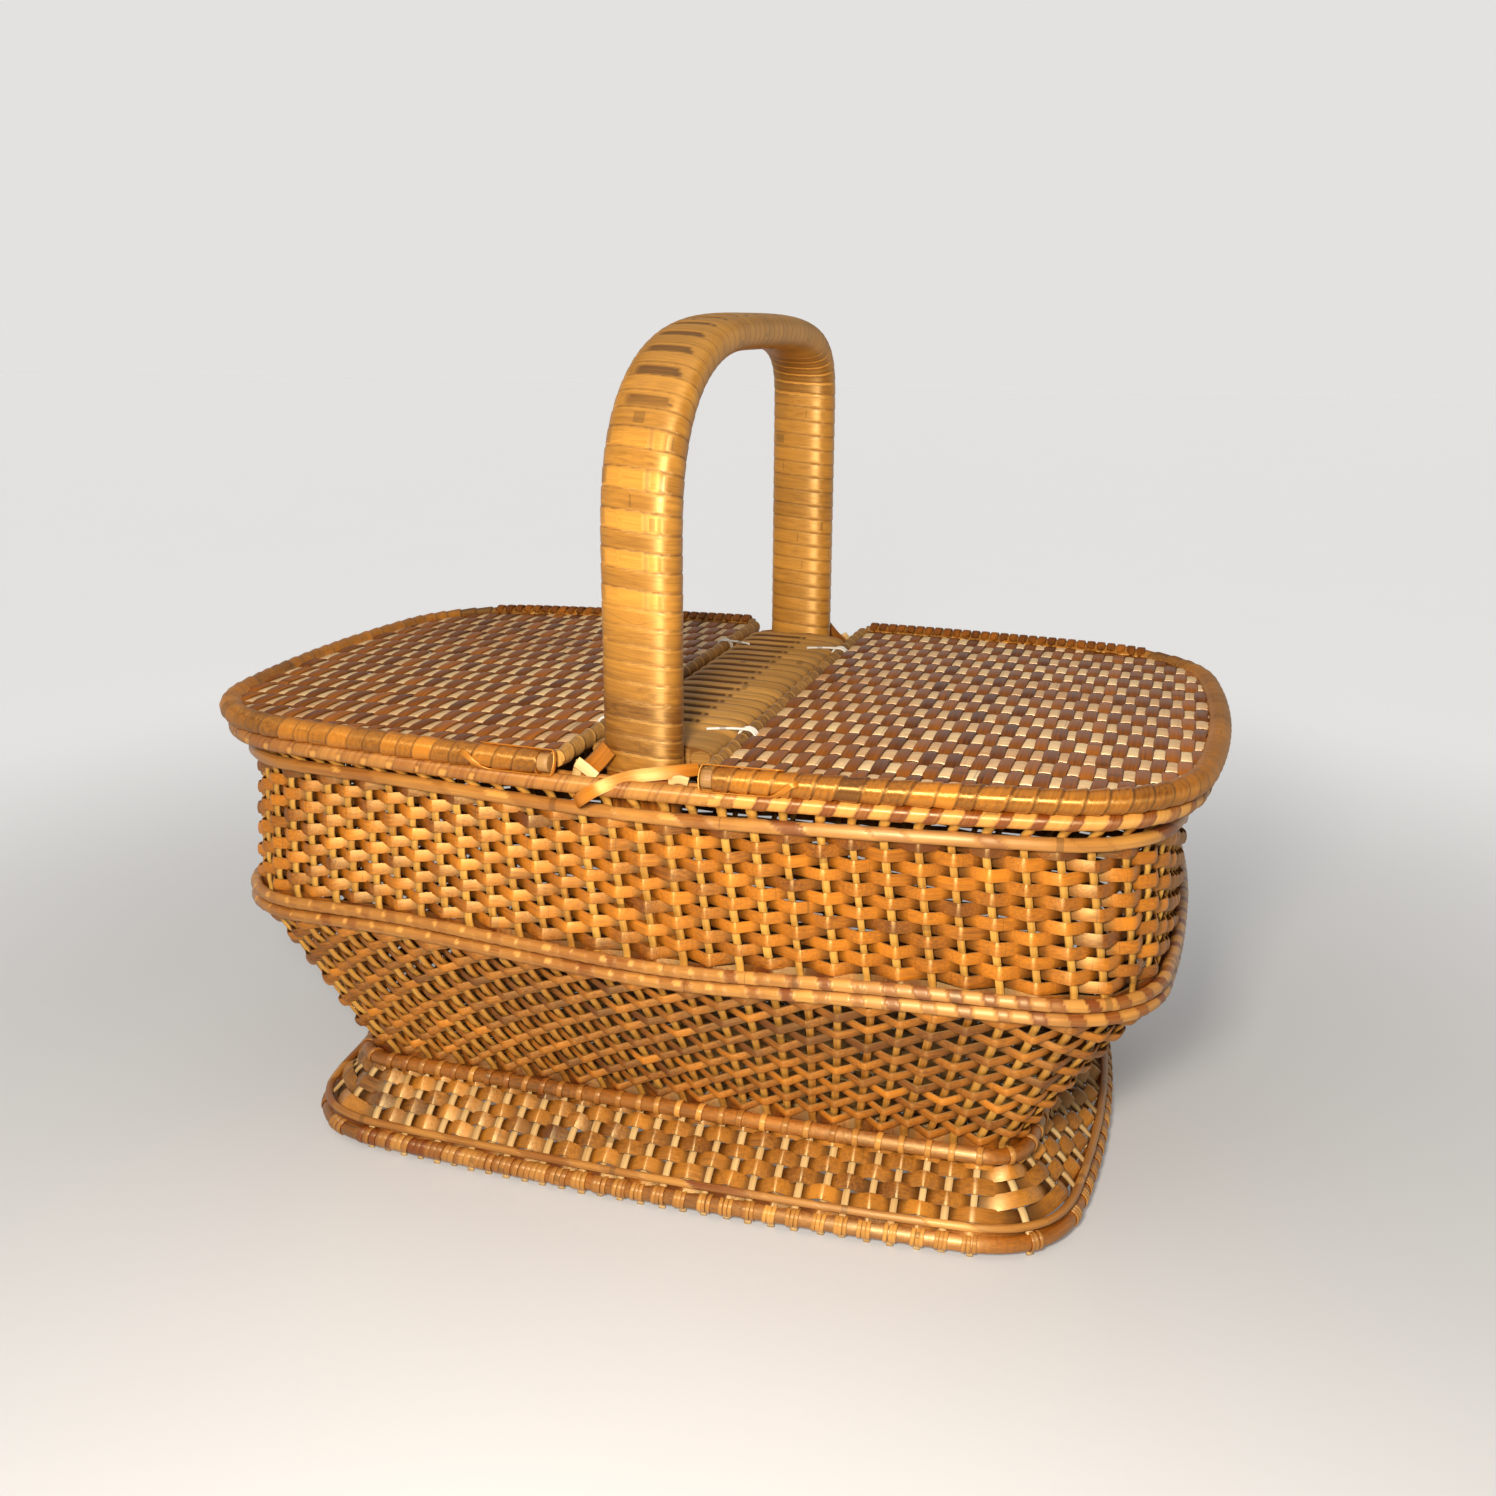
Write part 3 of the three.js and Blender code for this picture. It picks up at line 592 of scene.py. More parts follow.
def cane_group() -> bpy.types.NodeTree:
    """Shader group of split cane: fibres along the strand, joints, blotches, painted shade with some
    soiling where strands are tucked, and uneven gloss.

    Returns:
        The group, made once.
    """
    name = "cane_surface"
    if name in bpy.data.node_groups:
        return bpy.data.node_groups[name]
    tree = bpy.data.node_groups.new(name, "ShaderNodeTree")
    colour, number = "NodeSocketColor", "NodeSocketFloat"
    for label in ("Pale", "Deep"):
        tree.interface.new_socket(label, in_out="INPUT", socket_type=colour)
    for label in ("Tone Range", "Streak", "Blotch", "Fibres", "Grime", "Roughness"):
        tree.interface.new_socket(label, in_out="INPUT", socket_type=number)
    for label, kind in (("Color", colour), ("Roughness", number), ("Height", number)):
        tree.interface.new_socket(label, in_out="OUTPUT", socket_type=kind)
    g = Graph(tree)
    given = g.node("NodeGroupInput").outputs
    strand = g.node("ShaderNodeUVMap", uv_map="strand").outputs["UV"]
    place = g.node("ShaderNodeSeparateXYZ", {0: strand}).outputs
    tone = g.node("ShaderNodeAttribute", attribute_name="tone").outputs["Fac"]
    tuck = g.node("ShaderNodeAttribute", attribute_name="tuck").outputs["Fac"]
    here = g.node("ShaderNodeTexCoord").outputs["Object"]

    def fibre(along: float, across: float, shift: float) -> bpy.types.NodeSocket:
        """Streaks along the strand.

        Args:
            along: how quickly they change along it.
            across: how quickly they change across it, for each fibre.
            shift: how far strands of different tones differ.

        Returns:
            The streaks' value.
        """
        spot = g.node("ShaderNodeCombineXYZ", {
            0: g.math("MULTIPLY", place[0], along),
            1: g.math("MULTIPLY", g.math("MULTIPLY", place[1], given["Fibres"]), across),
            2: g.math("MULTIPLY", tone, shift),
        }).outputs[0]
        settings = {"Vector": spot, "Scale": 1.0, "Detail": 3.0, "Roughness": 0.62}
        return g.node("ShaderNodeTexNoise", settings).outputs["Fac"]

    coarse, fine = fibre(28.0, 0.45, 61.0), fibre(9.0, 1.6, 23.0)
    cloud = g.node("ShaderNodeTexNoise", {"Vector": here, "Scale": 42.0, "Detail": 2.5, "Roughness": 0.55})
    patch = g.node("ShaderNodeTexNoise", {"Vector": here, "Scale": 9.0, "Detail": 1.0})
    level = g.math("MULTIPLY_ADD", g.math("SUBTRACT", tone, 0.5), given["Tone Range"], 0.5)
    for grain, weight in ((coarse, 1.5), (fine, 1.1)):
        share = g.math("MULTIPLY", g.math("SUBTRACT", grain, 0.5), given["Streak"])
        level = g.math("MULTIPLY_ADD", share, weight, level)
    for spots, weight in ((cloud.outputs["Fac"], 1.0), (patch.outputs["Fac"], 1.3)):
        share = g.math("MULTIPLY", g.math("SUBTRACT", spots, 0.5), given["Blotch"])
        level = g.math("MULTIPLY_ADD", share, weight, level)
    colour = g.mix(g.math("ADD", level, 0.0, clamp=True), given["Deep"], given["Pale"])
    beat = g.math("FRACT", g.math("MULTIPLY_ADD", tone, 9.1, g.math("MULTIPLY", place[0], 6.2)))
    joint = g.math("LESS_THAN", g.math("ABSOLUTE", g.math("SUBTRACT", beat, 0.5)), 0.008)
    colour = g.mix(g.math("MULTIPLY", joint, 0.45), colour, JOINT_COLOUR)
    edge = g.math("POWER", g.math("ABSOLUTE", g.math("MULTIPLY_ADD", place[1], 2.0, -1.0)), 7.0)
    colour = g.mix(g.math("MULTIPLY", edge, 0.3), colour, EDGE_COLOUR)
    # Painted shade, with some real soiling, wherever the tuck attribute marks a strand as hidden.
    hidden = g.math("MULTIPLY", tuck, given["Grime"])
    shade_and_dirt = g.math("MULTIPLY", hidden, g.math("ADD", coarse, 0.5), clamp=True)
    colour = g.mix(shade_and_dirt, colour, SHADE_AND_DIRT_COLOUR)
    uneven = g.math("MULTIPLY_ADD", g.math("SUBTRACT", coarse, 0.5), 0.28, given["Roughness"])
    uneven = g.math("MULTIPLY_ADD", tuck, 0.16, uneven)
    height = g.math("MULTIPLY_ADD", fine, 0.45, g.math("MULTIPLY", coarse, 0.55))
    g.node("NodeGroupOutput", {"Color": colour, "Roughness": uneven, "Height": height})
    return tree


@dataclass(frozen=True)
class Finish:
    """A cane finish, between a deep and a pale colour."""

    name: str
    pale: int
    deep: int
    tone_range: float = 0.8
    streak: float = 0.7
    blotch: float = 0.35
    fibres: float = 10.0
    grime: float = 0.6
    roughness: float = 0.38
    coat: float = 0.25
    coat_roughness: float = 0.2
    bump: float = 0.35
    lustre: float = 0.0
    gleam: int = 0xFFA84A
    density: float = 2.5

    def material(self) -> bpy.types.Material:
        """The finish's material, made once."""
        if self.name in bpy.data.materials:
            return bpy.data.materials[self.name]
        made = bpy.data.materials.new(self.name)
        made.use_nodes = True
        g = Graph(made.node_tree)
        shader = made.node_tree.nodes["Principled BSDF"]
        surface = g.node("ShaderNodeGroup", node_tree=cane_group())
        for label, value in (
            ("Pale", linear(self.pale)), ("Deep", linear(self.deep)), ("Tone Range", self.tone_range),
            ("Streak", self.streak), ("Blotch", self.blotch), ("Fibres", self.fibres),
            ("Grime", self.grime), ("Roughness", self.roughness),
        ):
            surface.inputs[label].default_value = value
        bump = g.node("ShaderNodeBump", {
            "Strength": self.bump, "Distance": 0.0004, "Height": surface.outputs["Height"],
        })
        for label, socket in (
            ("Base Color", surface.outputs["Color"]), ("Roughness", surface.outputs["Roughness"]),
            ("Normal", bump.outputs["Normal"]),
        ):
            made.node_tree.links.new(socket, shader.inputs[label])
        shader.inputs["Coat Weight"].default_value = self.coat
        shader.inputs["Coat Roughness"].default_value = self.coat_roughness
        if self.lustre:
            fibres = g.node("ShaderNodeTangent", direction_type="UV_MAP", uv_map="strand")
            made.node_tree.links.new(fibres.outputs["Tangent"], shader.inputs["Tangent"])
            shader.inputs["Anisotropic"].default_value = 0.8
            shader.inputs["Anisotropic Rotation"].default_value = 0.25
            shader.inputs["IOR"].default_value = self.density
            shader.inputs["Specular IOR Level"].default_value = self.lustre
            shader.inputs["Specular Tint"].default_value = linear(self.gleam)
        return made


WEAVER = Finish(
    "amber_weaver", pale=0xD8801A, deep=0x5E2402, tone_range=1.1, grime=0.95, roughness=0.45, coat=0.0,
    lustre=0.9, gleam=0xFFD890, density=1.8,
)
STAKE = Finish(
    "straw_stake", pale=0xE8B050, deep=0x924E10, fibres=6.0, grime=0.6, roughness=0.5, coat=0.0,
    lustre=0.6, gleam=0xFFDC98, density=1.7,
)
SKIRT = Finish(
    "skirt_weaver", pale=0xD88A2A, deep=0x541E02, tone_range=1.1, grime=0.95, roughness=0.46, coat=0.0,
    lustre=0.9, gleam=0xFFE4A8, density=1.9,
)
SKIRT_STAKE = Finish(
    "skirt_stake", pale=0xF0CC8C, deep=0xB88440, fibres=6.0, grime=0.3, roughness=0.5, coat=0.0,
    lustre=0.6, gleam=0xFFEABC, density=1.6,
)
GLOSS = Finish(
    "gloss_wrap", pale=0xC06C14, deep=0x4E1E02, fibres=14.0, roughness=0.42, coat=0.1, coat_roughness=0.16,
    lustre=0.9, gleam=0xFFDC9A, density=1.9,
)
STRAW = Finish(
    "straw_wrap", pale=0xD8A660, deep=0x94602A, fibres=8.0, grime=0.4, roughness=0.45, coat=0.0,
)
SPLICE = Finish(
    "spliced_cane", pale=0xE2A04A, deep=0x7C3606, tone_range=1.05, streak=0.45, roughness=0.45, coat=0.05,
    coat_roughness=0.18, lustre=0.7, gleam=0xFFE6B4, density=1.7,
)
LID_DARK = Finish(
    "lid_brown_strip", pale=0xB0641A, deep=0x502406, fibres=12.0, roughness=0.52, coat=0.0,
    lustre=0.35, gleam=0xFFD8A8, density=1.5,
)
LID_PALE = Finish(
    "lid_straw_strip", pale=0xFFD898, deep=0xC07A30, fibres=20.0, roughness=0.46, coat=0.0,
    lustre=0.9, gleam=0xFFEAC8, density=2.1,
)
LID_HOOP = Finish(
    "lid_hoop_wrap", pale=0xC6761C, deep=0x501F04, tone_range=1.0, fibres=14.0, roughness=0.38, coat=0.0,
    lustre=1.0, gleam=0xFFCC78, density=1.85,
)
OLIVE = Finish(
    "olive_wrap", pale=0xD49A4C, deep=0x44200A, tone_range=1.0, streak=0.6, fibres=18.0, roughness=0.5,
    coat=0.0, lustre=0.5, gleam=0xFFE2AC, density=1.5,
)
HANDLE = Finish(
    "handle_wrap", pale=0xE09A3A, deep=0x4E2002, tone_range=1.0, streak=0.45, blotch=0.2, fibres=9.0,
    roughness=0.44, coat=0.05, coat_roughness=0.2, lustre=0.9, gleam=0xFFD084, density=1.9,
)
FLOOR = Finish("floor_cane", pale=0xD0A45C, deep=0x8A5C24, roughness=0.5, coat=0.05)
STRING = Finish(
    "white_string", pale=0xF2EEE4, deep=0xC8C0AC, streak=0.5, fibres=5.0, grime=0.2, roughness=0.85,
    coat=0.0,
)


def dress(piece: bpy.types.Object, body: str, slot: str, *nodes: str) -> None:
    """Lets a piece ride on a body and stand for its nodes.

    Args:
        piece: the piece.
        body: the body that it moves with.
        slot: the record's material slot; not used.
        nodes: the solids that it stands for.
    """
    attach(piece, body)
    if nodes:
        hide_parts(*nodes)
    triangles = sum(face.loop_total - 2 for face in piece.data.polygons)
    LOG.info("%s: %d triangles, rides on %s", piece.name, triangles, body)


def middle(node: str) -> Vector:
    """Middle of a solid's box."""
    low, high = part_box(node)
    return (low + high) / 2


@dataclass(frozen=True)
class Rod:
    """A smooth rod's line: points, outward and upward directions, and the distance along it."""

    points: Points
    out: Points
    up: Points

    @property
    def run(self) -> Points:
        """Distance of each point along the rod."""
        return distances(self.points)

    @property
    def length(self) -> float:
        """Length of the rod."""
        return float(self.run[-1])

    def at(self, distance: Points) -> tuple[Points, Points, Points]:
        """Points, outward and upward directions at distances along the rod."""
        run = self.run
        points = read_off(distance, run, self.points)
        return points, unit(read_off(distance, run, self.out)), unit(read_off(distance, run, self.up))

    @classmethod
    def around(
        cls,
        loop: Loop,
        z: float,
        lift: Callable[[Points], Points],
        first: float = 0.5,
        last: float = 1.5,
        count: int = 700,
    ) -> "Rod":
        """A hoop's line on a loop.

        Args:
            loop: the loop in plan.
            z: the height.
            lift: what is added to the height at shares of the loop.
            first: the share where it starts.
            last: the share where it ends.
            count: the number of points.

        Returns:
            The rod.
        """
        share = np.linspace(first, last, count)
        plan, out = loop.at(share), loop.out(share)
        flat = np.zeros(count)
        return cls(
            np.column_stack([plan, z + lift(share)]),
            np.column_stack([out, flat]),
            np.tile([0.0, 0.0, 1.0], (count, 1)),
        )


def core_rod(mesh: StrandMesh, rod: Rod, radius: float, finish: int, step: int = 3) -> None:
    """Adds the plain rod under a wrap."""
    # The hidden rod gets a constant painted shade through tuck.
    mesh.strand(rod.points[::step], rod.out[::step], 2 * radius, 2 * radius, tone=0.4, tuck=0.5,
                section=Section.ROUND, finish=finish)


@dataclass(frozen=True)
class WoundBar:
    """A bar of rounded section whose strip is wound so closely that it looks smooth."""

    half_thickness: float
    half_width: float
    squareness: float
    places: int = 52

    def section(self) -> tuple[Points, Points]:
        """The section's points and outward directions, each as [outward, across], evenly spaced."""
        angle = np.linspace(0, -2 * math.pi, 1441)
        shape = np.stack([np.cos(angle), np.sin(angle)], axis=1)
        shape = np.sign(shape) * np.abs(shape) ** (2 / self.squareness)
        shape = shape * np.array([self.half_thickness, self.half_width])
        run = distances(shape)
        points = read_off(np.linspace(0, run[-1], self.places, endpoint=False), run, shape)
        slope = np.roll(points, -1, axis=0) - np.roll(points, 1, axis=0)
        return points, unit(np.stack([-slope[:, 1], slope[:, 0]], axis=1))

    def cover(self, mesh: StrandMesh, rod: Rod, pattern: WoundPattern) -> None:
        """Adds the strip's surface along a line.

        Args:
            mesh: the mesh that takes it.
            rod: the bar's line, its outward and sideward directions.
            pattern: gives the place across the strip, the tone, the rise and the tuck.
        """
        points, normals = self.section()
        share = np.arange(self.places) / self.places
        around = np.where(share <= 0.25, -share, 1 - share)
        girth = 4 * (self.half_width + self.half_thickness) * 0.9
        along = unit(np.gradient(rod.points, axis=0))
        hand = math.copysign(1.0, float(np.sum(np.cross(rod.up, along) * rod.out)))
        across = points[:, 1] / self.half_width * hand
        facing = normals[None, :, 0]
        within, tone, rise, tuck = pattern(rod.run[:, None], around[None], across[None], facing)
        shape = points[None] + normals[None] * rise[..., None]
        side = rod.up * hand
        rings = rod.points[:, None] + rod.out[:, None] * shape[..., :1] + side[:, None] * shape[..., 1:]
        mesh.join(rings, around[None] * girth, within, tone, tuck)


@dataclass(frozen=True)
class Winding:
    """How a plain strip looks around a bar: its pitch, its seams and its raised edge."""

    pitch: float
    tone: float = 0.5
    spread: float = 0.12
    step: float = 0.25 * MM
    seam: float = 0.35
    edge: float = 0.15
    edge_from: float = 0.85
    uneven: float = 0.06

    def pattern(self, seed: int) -> WoundPattern:
        """The strip's pattern.

        Args:
            seed: number that fixes its unevenness.

        Returns:
            The pattern, for a wound bar.
        """
        rng = np.random.default_rng(seed)
        drifts = rng.normal(0, self.spread, 512)
        widths = np.cumsum(rng.normal(0, self.uneven, 512))

        def read(run: Points, around: Points, across: Points, facing: Points) -> tuple[Points, ...]:
            """Place across the strip, tone, rise and tuck of the wound strip.

            Args:
                run: distances along the bar.
                around: shares around it.
                across: places across it, from -1 to 1.
                facing: how far its surface faces outwards there.

            Returns:
                The four values, by ring and place.
            """
            count = run / self.pitch
            turn = count + around + np.interp(count, np.arange(512), widths)
            number = np.floor(turn)
            within = turn - number
            gap = np.exp(-(np.minimum(within, 1 - within) * self.pitch / (0.5 * MM)) ** 2)
            # Painted shade along the seams between turns, in tone and in tuck.
            tone = self.tone + np.interp(number - around, np.arange(-20, 492), drifts) - self.seam * gap
            tone = tone + self.edge * ramp(within, self.edge_from, self.edge_from + 0.06)
            rise = self.step * (within - 0.5) - 0.2 * MM * gap
            return within, np.clip(tone, 0, 1), rise, 0.4 * gap

        return read


@dataclass
class Basket:
    """The body of the basket: foot, woven walls and hoops."""

    foot: Plan = Plan(175 * MM, 119 * MM, 8 * MM, 11 * MM, 34 * MM)
    waist: Plan = Plan(149 * MM, 91 * MM, 1.5 * MM, 5 * MM, 14 * MM)
    belt: Plan = Plan(197 * MM, 123 * MM, 12 * MM, 9 * MM, 36 * MM)
    rail: Plan = Plan(197 * MM, 123 * MM, 18 * MM, 11 * MM, 36 * MM)
    rim_flare: float = 6 * MM
    wall: float = 2.4 * MM
    fit: float = 0.3 * MM
    stakes: int = 100
    stake_width: float = 3.1 * MM
    stake_thickness: float = 1.7 * MM
    crowding: float = 0.14
    upper_slant: float = 0.0055
    lower_slant: float = 0.0115
    bends: tuple[float, ...] = (0.0, 0.045, 0.085, 0.3, 0.5, 0.7, 0.915, 0.955)
    body: str = "basket"
    surface: WallSurface = field(init=False)

    def __post_init__(self) -> None:
        """Measures the wall from the frame."""
        self.foot_z = middle("foot_hoop_outer").z
        self.waist_z = middle("waist_hoop").z
        self.belt_low_z = middle("belt_rod_lower").z
        self.belt_high_z = middle("belt_rod_upper").z
        self.belt_z = (self.belt_low_z + self.belt_high_z) / 2
        self.rail_z = middle("top_rail").z
        self.rim_z = middle("rim_hoop").z
        self.foot_loop, self.waist_loop = self.foot.loop(), self.waist.loop()
        self.belt_loop, self.rail_loop = self.belt.loop(), self.rail.loop()
        self.rim_loop = self.rail_loop.grown(self.rim_flare)
        self.skirt_turn = self.foot_z + 4 * MM
        skirt_loop = self.foot_loop.facing(self.waist_loop)
        collar = 3.5 * MM
        belt_collar = 5.5 * MM
        self.surface = WallSurface([
            (-0.01, skirt_loop),
            (self.skirt_turn, skirt_loop),
            (self.waist_z - collar, self.waist_loop),
            (self.waist_z + collar, self.waist_loop),
            (self.belt_z - belt_collar, self.belt_loop),
            (self.belt_z + belt_collar, self.belt_loop),
            (self.rail_z - 2.5 * MM, self.rail_loop),
            (self.rail_z + 2.5 * MM, self.rail_loop),
            (self.rim_z - 3.3 * MM, self.rim_loop),
            (self.rim_z + 0.01, self.rim_loop),
        ], softness=1.6 * MM)

    def belt_lift(self, share: Points) -> Points:
        """Height that the hand-laid belt gains or loses around the basket."""
        x = self.belt_loop.at(share)[..., 0]
        front = self.belt_loop.at(share)[..., 1] < 0
        crown = 2.8 * MM * np.exp(-(((x + 0.105) / 0.045) ** 2))
        sag = -2.4 * MM * np.exp(-(((x - 0.008) / 0.05) ** 2))
        return np.where(front, crown + sag, 0.0) + 0.5 * MM * drift(share, 11)

    def rail_lift(self, share: Points) -> Points:
        """Height that the rail gains or loses around the basket."""
        return 0.45 * self.belt_lift(share)

    def stake_share(self, number: Points, z: Points) -> Points:
        """Shares of the wall at which stakes stand, closer on the left of the front and slanting.

        Args:
            number: the stakes' numbers, with fractions between them.
            z: heights.

        Returns:
            The shares.
        """
        turn = (np.asarray(number, float) + 0.5) / self.stakes
        spread = turn + self.crowding * (1 - np.cos(2 * math.pi * turn)) / (2 * math.pi)
        rise = np.clip((z - self.waist_z) / (self.belt_z - self.waist_z), 0, 1)
        above = np.clip((z - self.belt_z) / (self.rail_z - self.belt_z), 0, 1.3)
        return spread + self.lower_slant * (1 - rise) - self.upper_slant * above

    def weave(
        self,
        name: str,
        node: str,
        rows: Points,
        width: float,
        relief: float,
        lifts: Points,
        finish: Finish,
        seed: int,
        tone: float,
    ) -> None:
        """Weaves the rows of one wall in and out of the stakes.

        Args:
            name: the piece's name.
            node: the solid that it stands for.
            rows: the rows' heights.
            width: the strips' width.
            relief: how far a strip goes in and out.
            lifts: the share of the belt's unevenness that each row follows.
            finish: the strips' finish.
            seed: number that fixes the unevenness.
            tone: the average tone.
        """
        rng = np.random.default_rng(seed)
        mesh = StrandMesh(name)
        for row, (z, lift) in enumerate(zip(rows, lifts)):
            first = int(rng.integers(55, 95)) * self.stakes // 100
            number = first + (np.arange(self.stakes)[:, None] + np.array(self.bends)).ravel()
            number = np.append(number, number[-1] + np.array([0.1, 0.5, 1.0]))
            knots = np.arange(first, first + self.stakes + 3)
            shaky = np.interp(number, knots, rng.normal(0, 0.04 * width, len(knots)))
            height = z + lift * self.belt_lift(self.stake_share(number, z)) + shaky
            share = self.stake_share(number, height)
            out = self.surface.out(share, height)
            wave = taut(number + row)
            depth = relief * np.interp(number, knots, rng.normal(1.0, 0.08, len(knots)))
            path = self.surface.at(share, height) + out * (depth * wave)[:, None]
            wide = width * np.interp(number, knots, rng.normal(1.0, 0.05, len(knots)))
            patches = np.interp(number, knots, rng.normal(0, 0.18, len(knots)))
            tones = tone + rng.normal(0, 0.12) + 0.1 * drift(share, seed * 31 + row) + patches
            # Tuck paints shade on the parts of each strip that go behind the stakes, and shade paints it on
            # the strips' backs.
            mesh.strand(path, out, wide, 1.0 * MM, tone=np.clip(tones, 0, 1), section=Section.CRISP,
                        tuck=np.clip(0.05 - 1.35 * wave, 0, 1), shade=0.8)
        dress(mesh.build([finish]), self.body, "amber_cane", node)

    def stand(
        self,
        name: str,
        node: str,
        low: float,
        high: float,
        pitch: float,
        first_row: float,
        relief: float,
        seed: int,
        tone: float,
        steps: int = 44,
        finish: Finish = STAKE,
    ) -> None:
        """Stands the stakes of one wall.

        Args:
            name: the piece's name.
            node: the solid that it stands for.
            low: the stakes' lowest height.
            high: the stakes' highest height.
            pitch: the height between two rows.
            first_row: the first row's height.
            relief: how far the stakes give way to the rows.
            seed: number that fixes the unevenness.
            tone: the average tone.
            steps: how many steps a stake has.
            finish: the stakes' finish.
        """
        rng = np.random.default_rng(seed)
        mesh = StrandMesh(name)
        for stake in range(self.stakes):
            ends = rng.normal(0, 0.35 * MM, 2)
            z = np.linspace(low + abs(ends[0]), high + ends[1], steps)
            shares = self.stake_share(stake + rng.normal(0, 0.04), z)
            out = self.surface.out(shares, z)
            give = -relief * np.cos(math.pi * ((z - first_row) / pitch + stake))
            path = self.surface.at(shares, z) + out * give[:, None]
            # Above the rail the stakes are bare, wider and paler; the paleness is partly their own colour
            # and partly painted light that lifts them out of the shade under the lid hoop. Below it tuck,
            # and on the backs shade, paint a little shade.
            bare = ramp(z, self.rail_z + 1 * MM, self.rail_z + 5 * MM)
            tones = np.clip(tone + rng.normal(0, 0.14) + 0.4 * bare, 0, 1)
            width = self.stake_width * rng.normal(1, 0.05) * (1 + 0.25 * bare)
            tuck = 0.1 * (1 - bare)
            mesh.strand(path, out, width, self.stake_thickness, tone=tones, tuck=tuck, shade=0.6)
        dress(mesh.build([finish]), self.body, "pale_cane", node)

    def walls(self) -> None:
        """Weaves the skirt, the lower wall and the upper wall."""
        upper = np.linspace(self.belt_z + 8.2 * MM, self.rail_z - 2.9 * MM, 12)
        self.weave(
            "upper_wall_weavers", "upper_wall", upper, width=4.9 * MM, relief=2.8 * MM,
            lifts=np.linspace(0.9, 0.45, 12), finish=WEAVER, seed=101, tone=0.47,
        )
        self.stand(
            "upper_wall_stakes", "upper_wall", self.belt_z - 6 * MM, self.rim_z + 1.2 * MM,
            pitch=upper[1] - upper[0], first_row=upper[0], relief=0.35 * MM, seed=102, tone=0.75,
        )
        lower = np.linspace(self.waist_z + 6.0 * MM, self.belt_z - 7.8 * MM, 14)
        self.weave(
            "lower_wall_weavers", "lower_wall", lower, width=4.4 * MM, relief=2.5 * MM,
            lifts=np.linspace(0.05, 0.85, 14), finish=WEAVER, seed=103, tone=0.38,
        )
        self.stand(
            "lower_wall_stakes", "lower_wall", self.waist_z - 0.5 * MM, self.belt_z + 0.5 * MM,
            pitch=lower[1] - lower[0], first_row=lower[0], relief=0.3 * MM, seed=104, tone=0.4,
        )
        for name, node, z, width, lift in (
            ("upper_wall_binding", "upper_wall", self.belt_z, 11 * MM, 1.0),
            ("lower_wall_binding", "lower_wall", self.waist_z + 0.5 * MM, 9.5 * MM, 0.0),
            ("foot_skirt_binding", "foot_skirt", self.skirt_turn + 0.5 * MM, 6.5 * MM, 0.0),
        ):
            self.weave(
                name, node, np.array([z]), width, relief=1.0 * MM,
                lifts=np.array([lift]), finish=WEAVER, seed=107, tone=0.2,
            )
        skirt = np.linspace(self.skirt_turn + 5.2 * MM, self.waist_z - 4.6 * MM, 5)
        self.weave(
            "foot_skirt_weavers", "foot_skirt", skirt, width=6.4 * MM, relief=2.4 * MM,
            lifts=np.zeros(5), finish=SKIRT, seed=105, tone=0.44,
        )
        self.stand(
            "foot_skirt_stakes", "foot_skirt", 0.0, self.waist_z + 0.5 * MM,
            pitch=skirt[1] - skirt[0], first_row=skirt[0], relief=0.3 * MM, seed=106, tone=0.6,
            steps=36, finish=SKIRT_STAKE,
        )

    def level(self, share: Points) -> Points:
        """Slight unevenness of a hoop that lies level."""
        return 0.25 * MM * drift(share, 17)

    def outside(self, loop: Loop, radius: float) -> Loop:
        """Line of a rod that lies against the outside of the wall."""
        return loop.grown(self.wall / 2 + self.fit + radius)

    def hoop(
        self,
        name: str,
        node: str,
        rod: Rod,
        radius: float,
        bands: float,
        band_turn: tuple[float, float],
        strands: int,
        seed: int,
        widen: float = 0.0,
    ) -> None:
        """Makes a smooth hoop with straw bands where it crosses the stakes.

        Args:
            name: the piece's name.
            node: the solid that it stands for.
            rod: the hoop's line, once around.
            radius: the hoop's radius.
            bands: the width of the bands.
            band_turn: the angles between which a band runs around the rod.
            strands: how many strands make a band.
            seed: number that fixes the unevenness.
            widen: how much wider the bands are on the left.
        """
        rng = np.random.default_rng(seed)
        mesh = StrandMesh(name)
        waves = rng.uniform(0, 6, 3)

        def pattern(run: Points, angle: Points) -> tuple[Points, Points]:
            """Tone and swelling of the rod.

            Args:
                run: distances along it.
                angle: angles around it, from its outer side upwards.

            Returns:
                The two values, by ring and place.
            """
            tone = 0.5 + 0.16 * np.sin(run * 31 + waves[0]) + 0.12 * np.sin(run * 83 + waves[1])
            return tone + 0 * angle, 1 + 0.02 * np.sin(run * 140 + waves[2]) + 0 * angle

        mesh.sleeve(rod, radius, pattern)
        steps = 18
        angle = np.linspace(*band_turn, steps)
        reach = radius + 0.3 * MM
        for spot in self.stake_runs(rod):
            leftness = np.clip(-rod.at(np.array([spot]))[0][0, 0] / 0.08, 0, 1)
            width = bands + widen * leftness
            tone_here = rng.normal(0.62 - 0.3 * leftness, 0.16)
            for strand in range(strands):
                place = spot + (strand - (strands - 1) / 2) * width / strands + rng.normal(0, 0.15 * MM)
                skew = np.linspace(-1, 1, steps) * rng.normal(0.5 + 1.2 * leftness, 0.3) * MM
                points, out, up = rod.at(np.clip(place + skew, 0, rod.length))
                around = out * np.cos(angle)[:, None] + up * np.sin(angle)[:, None]
                mesh.strand(points + around * reach, around, 1.02 * width / strands, 0.55 * MM,
                            tone=np.clip(tone_here + rng.normal(0, 0.08), 0, 1), finish=1)
        dress(mesh.build([GLOSS, SPLICE]), self.body, "amber_cane", node)

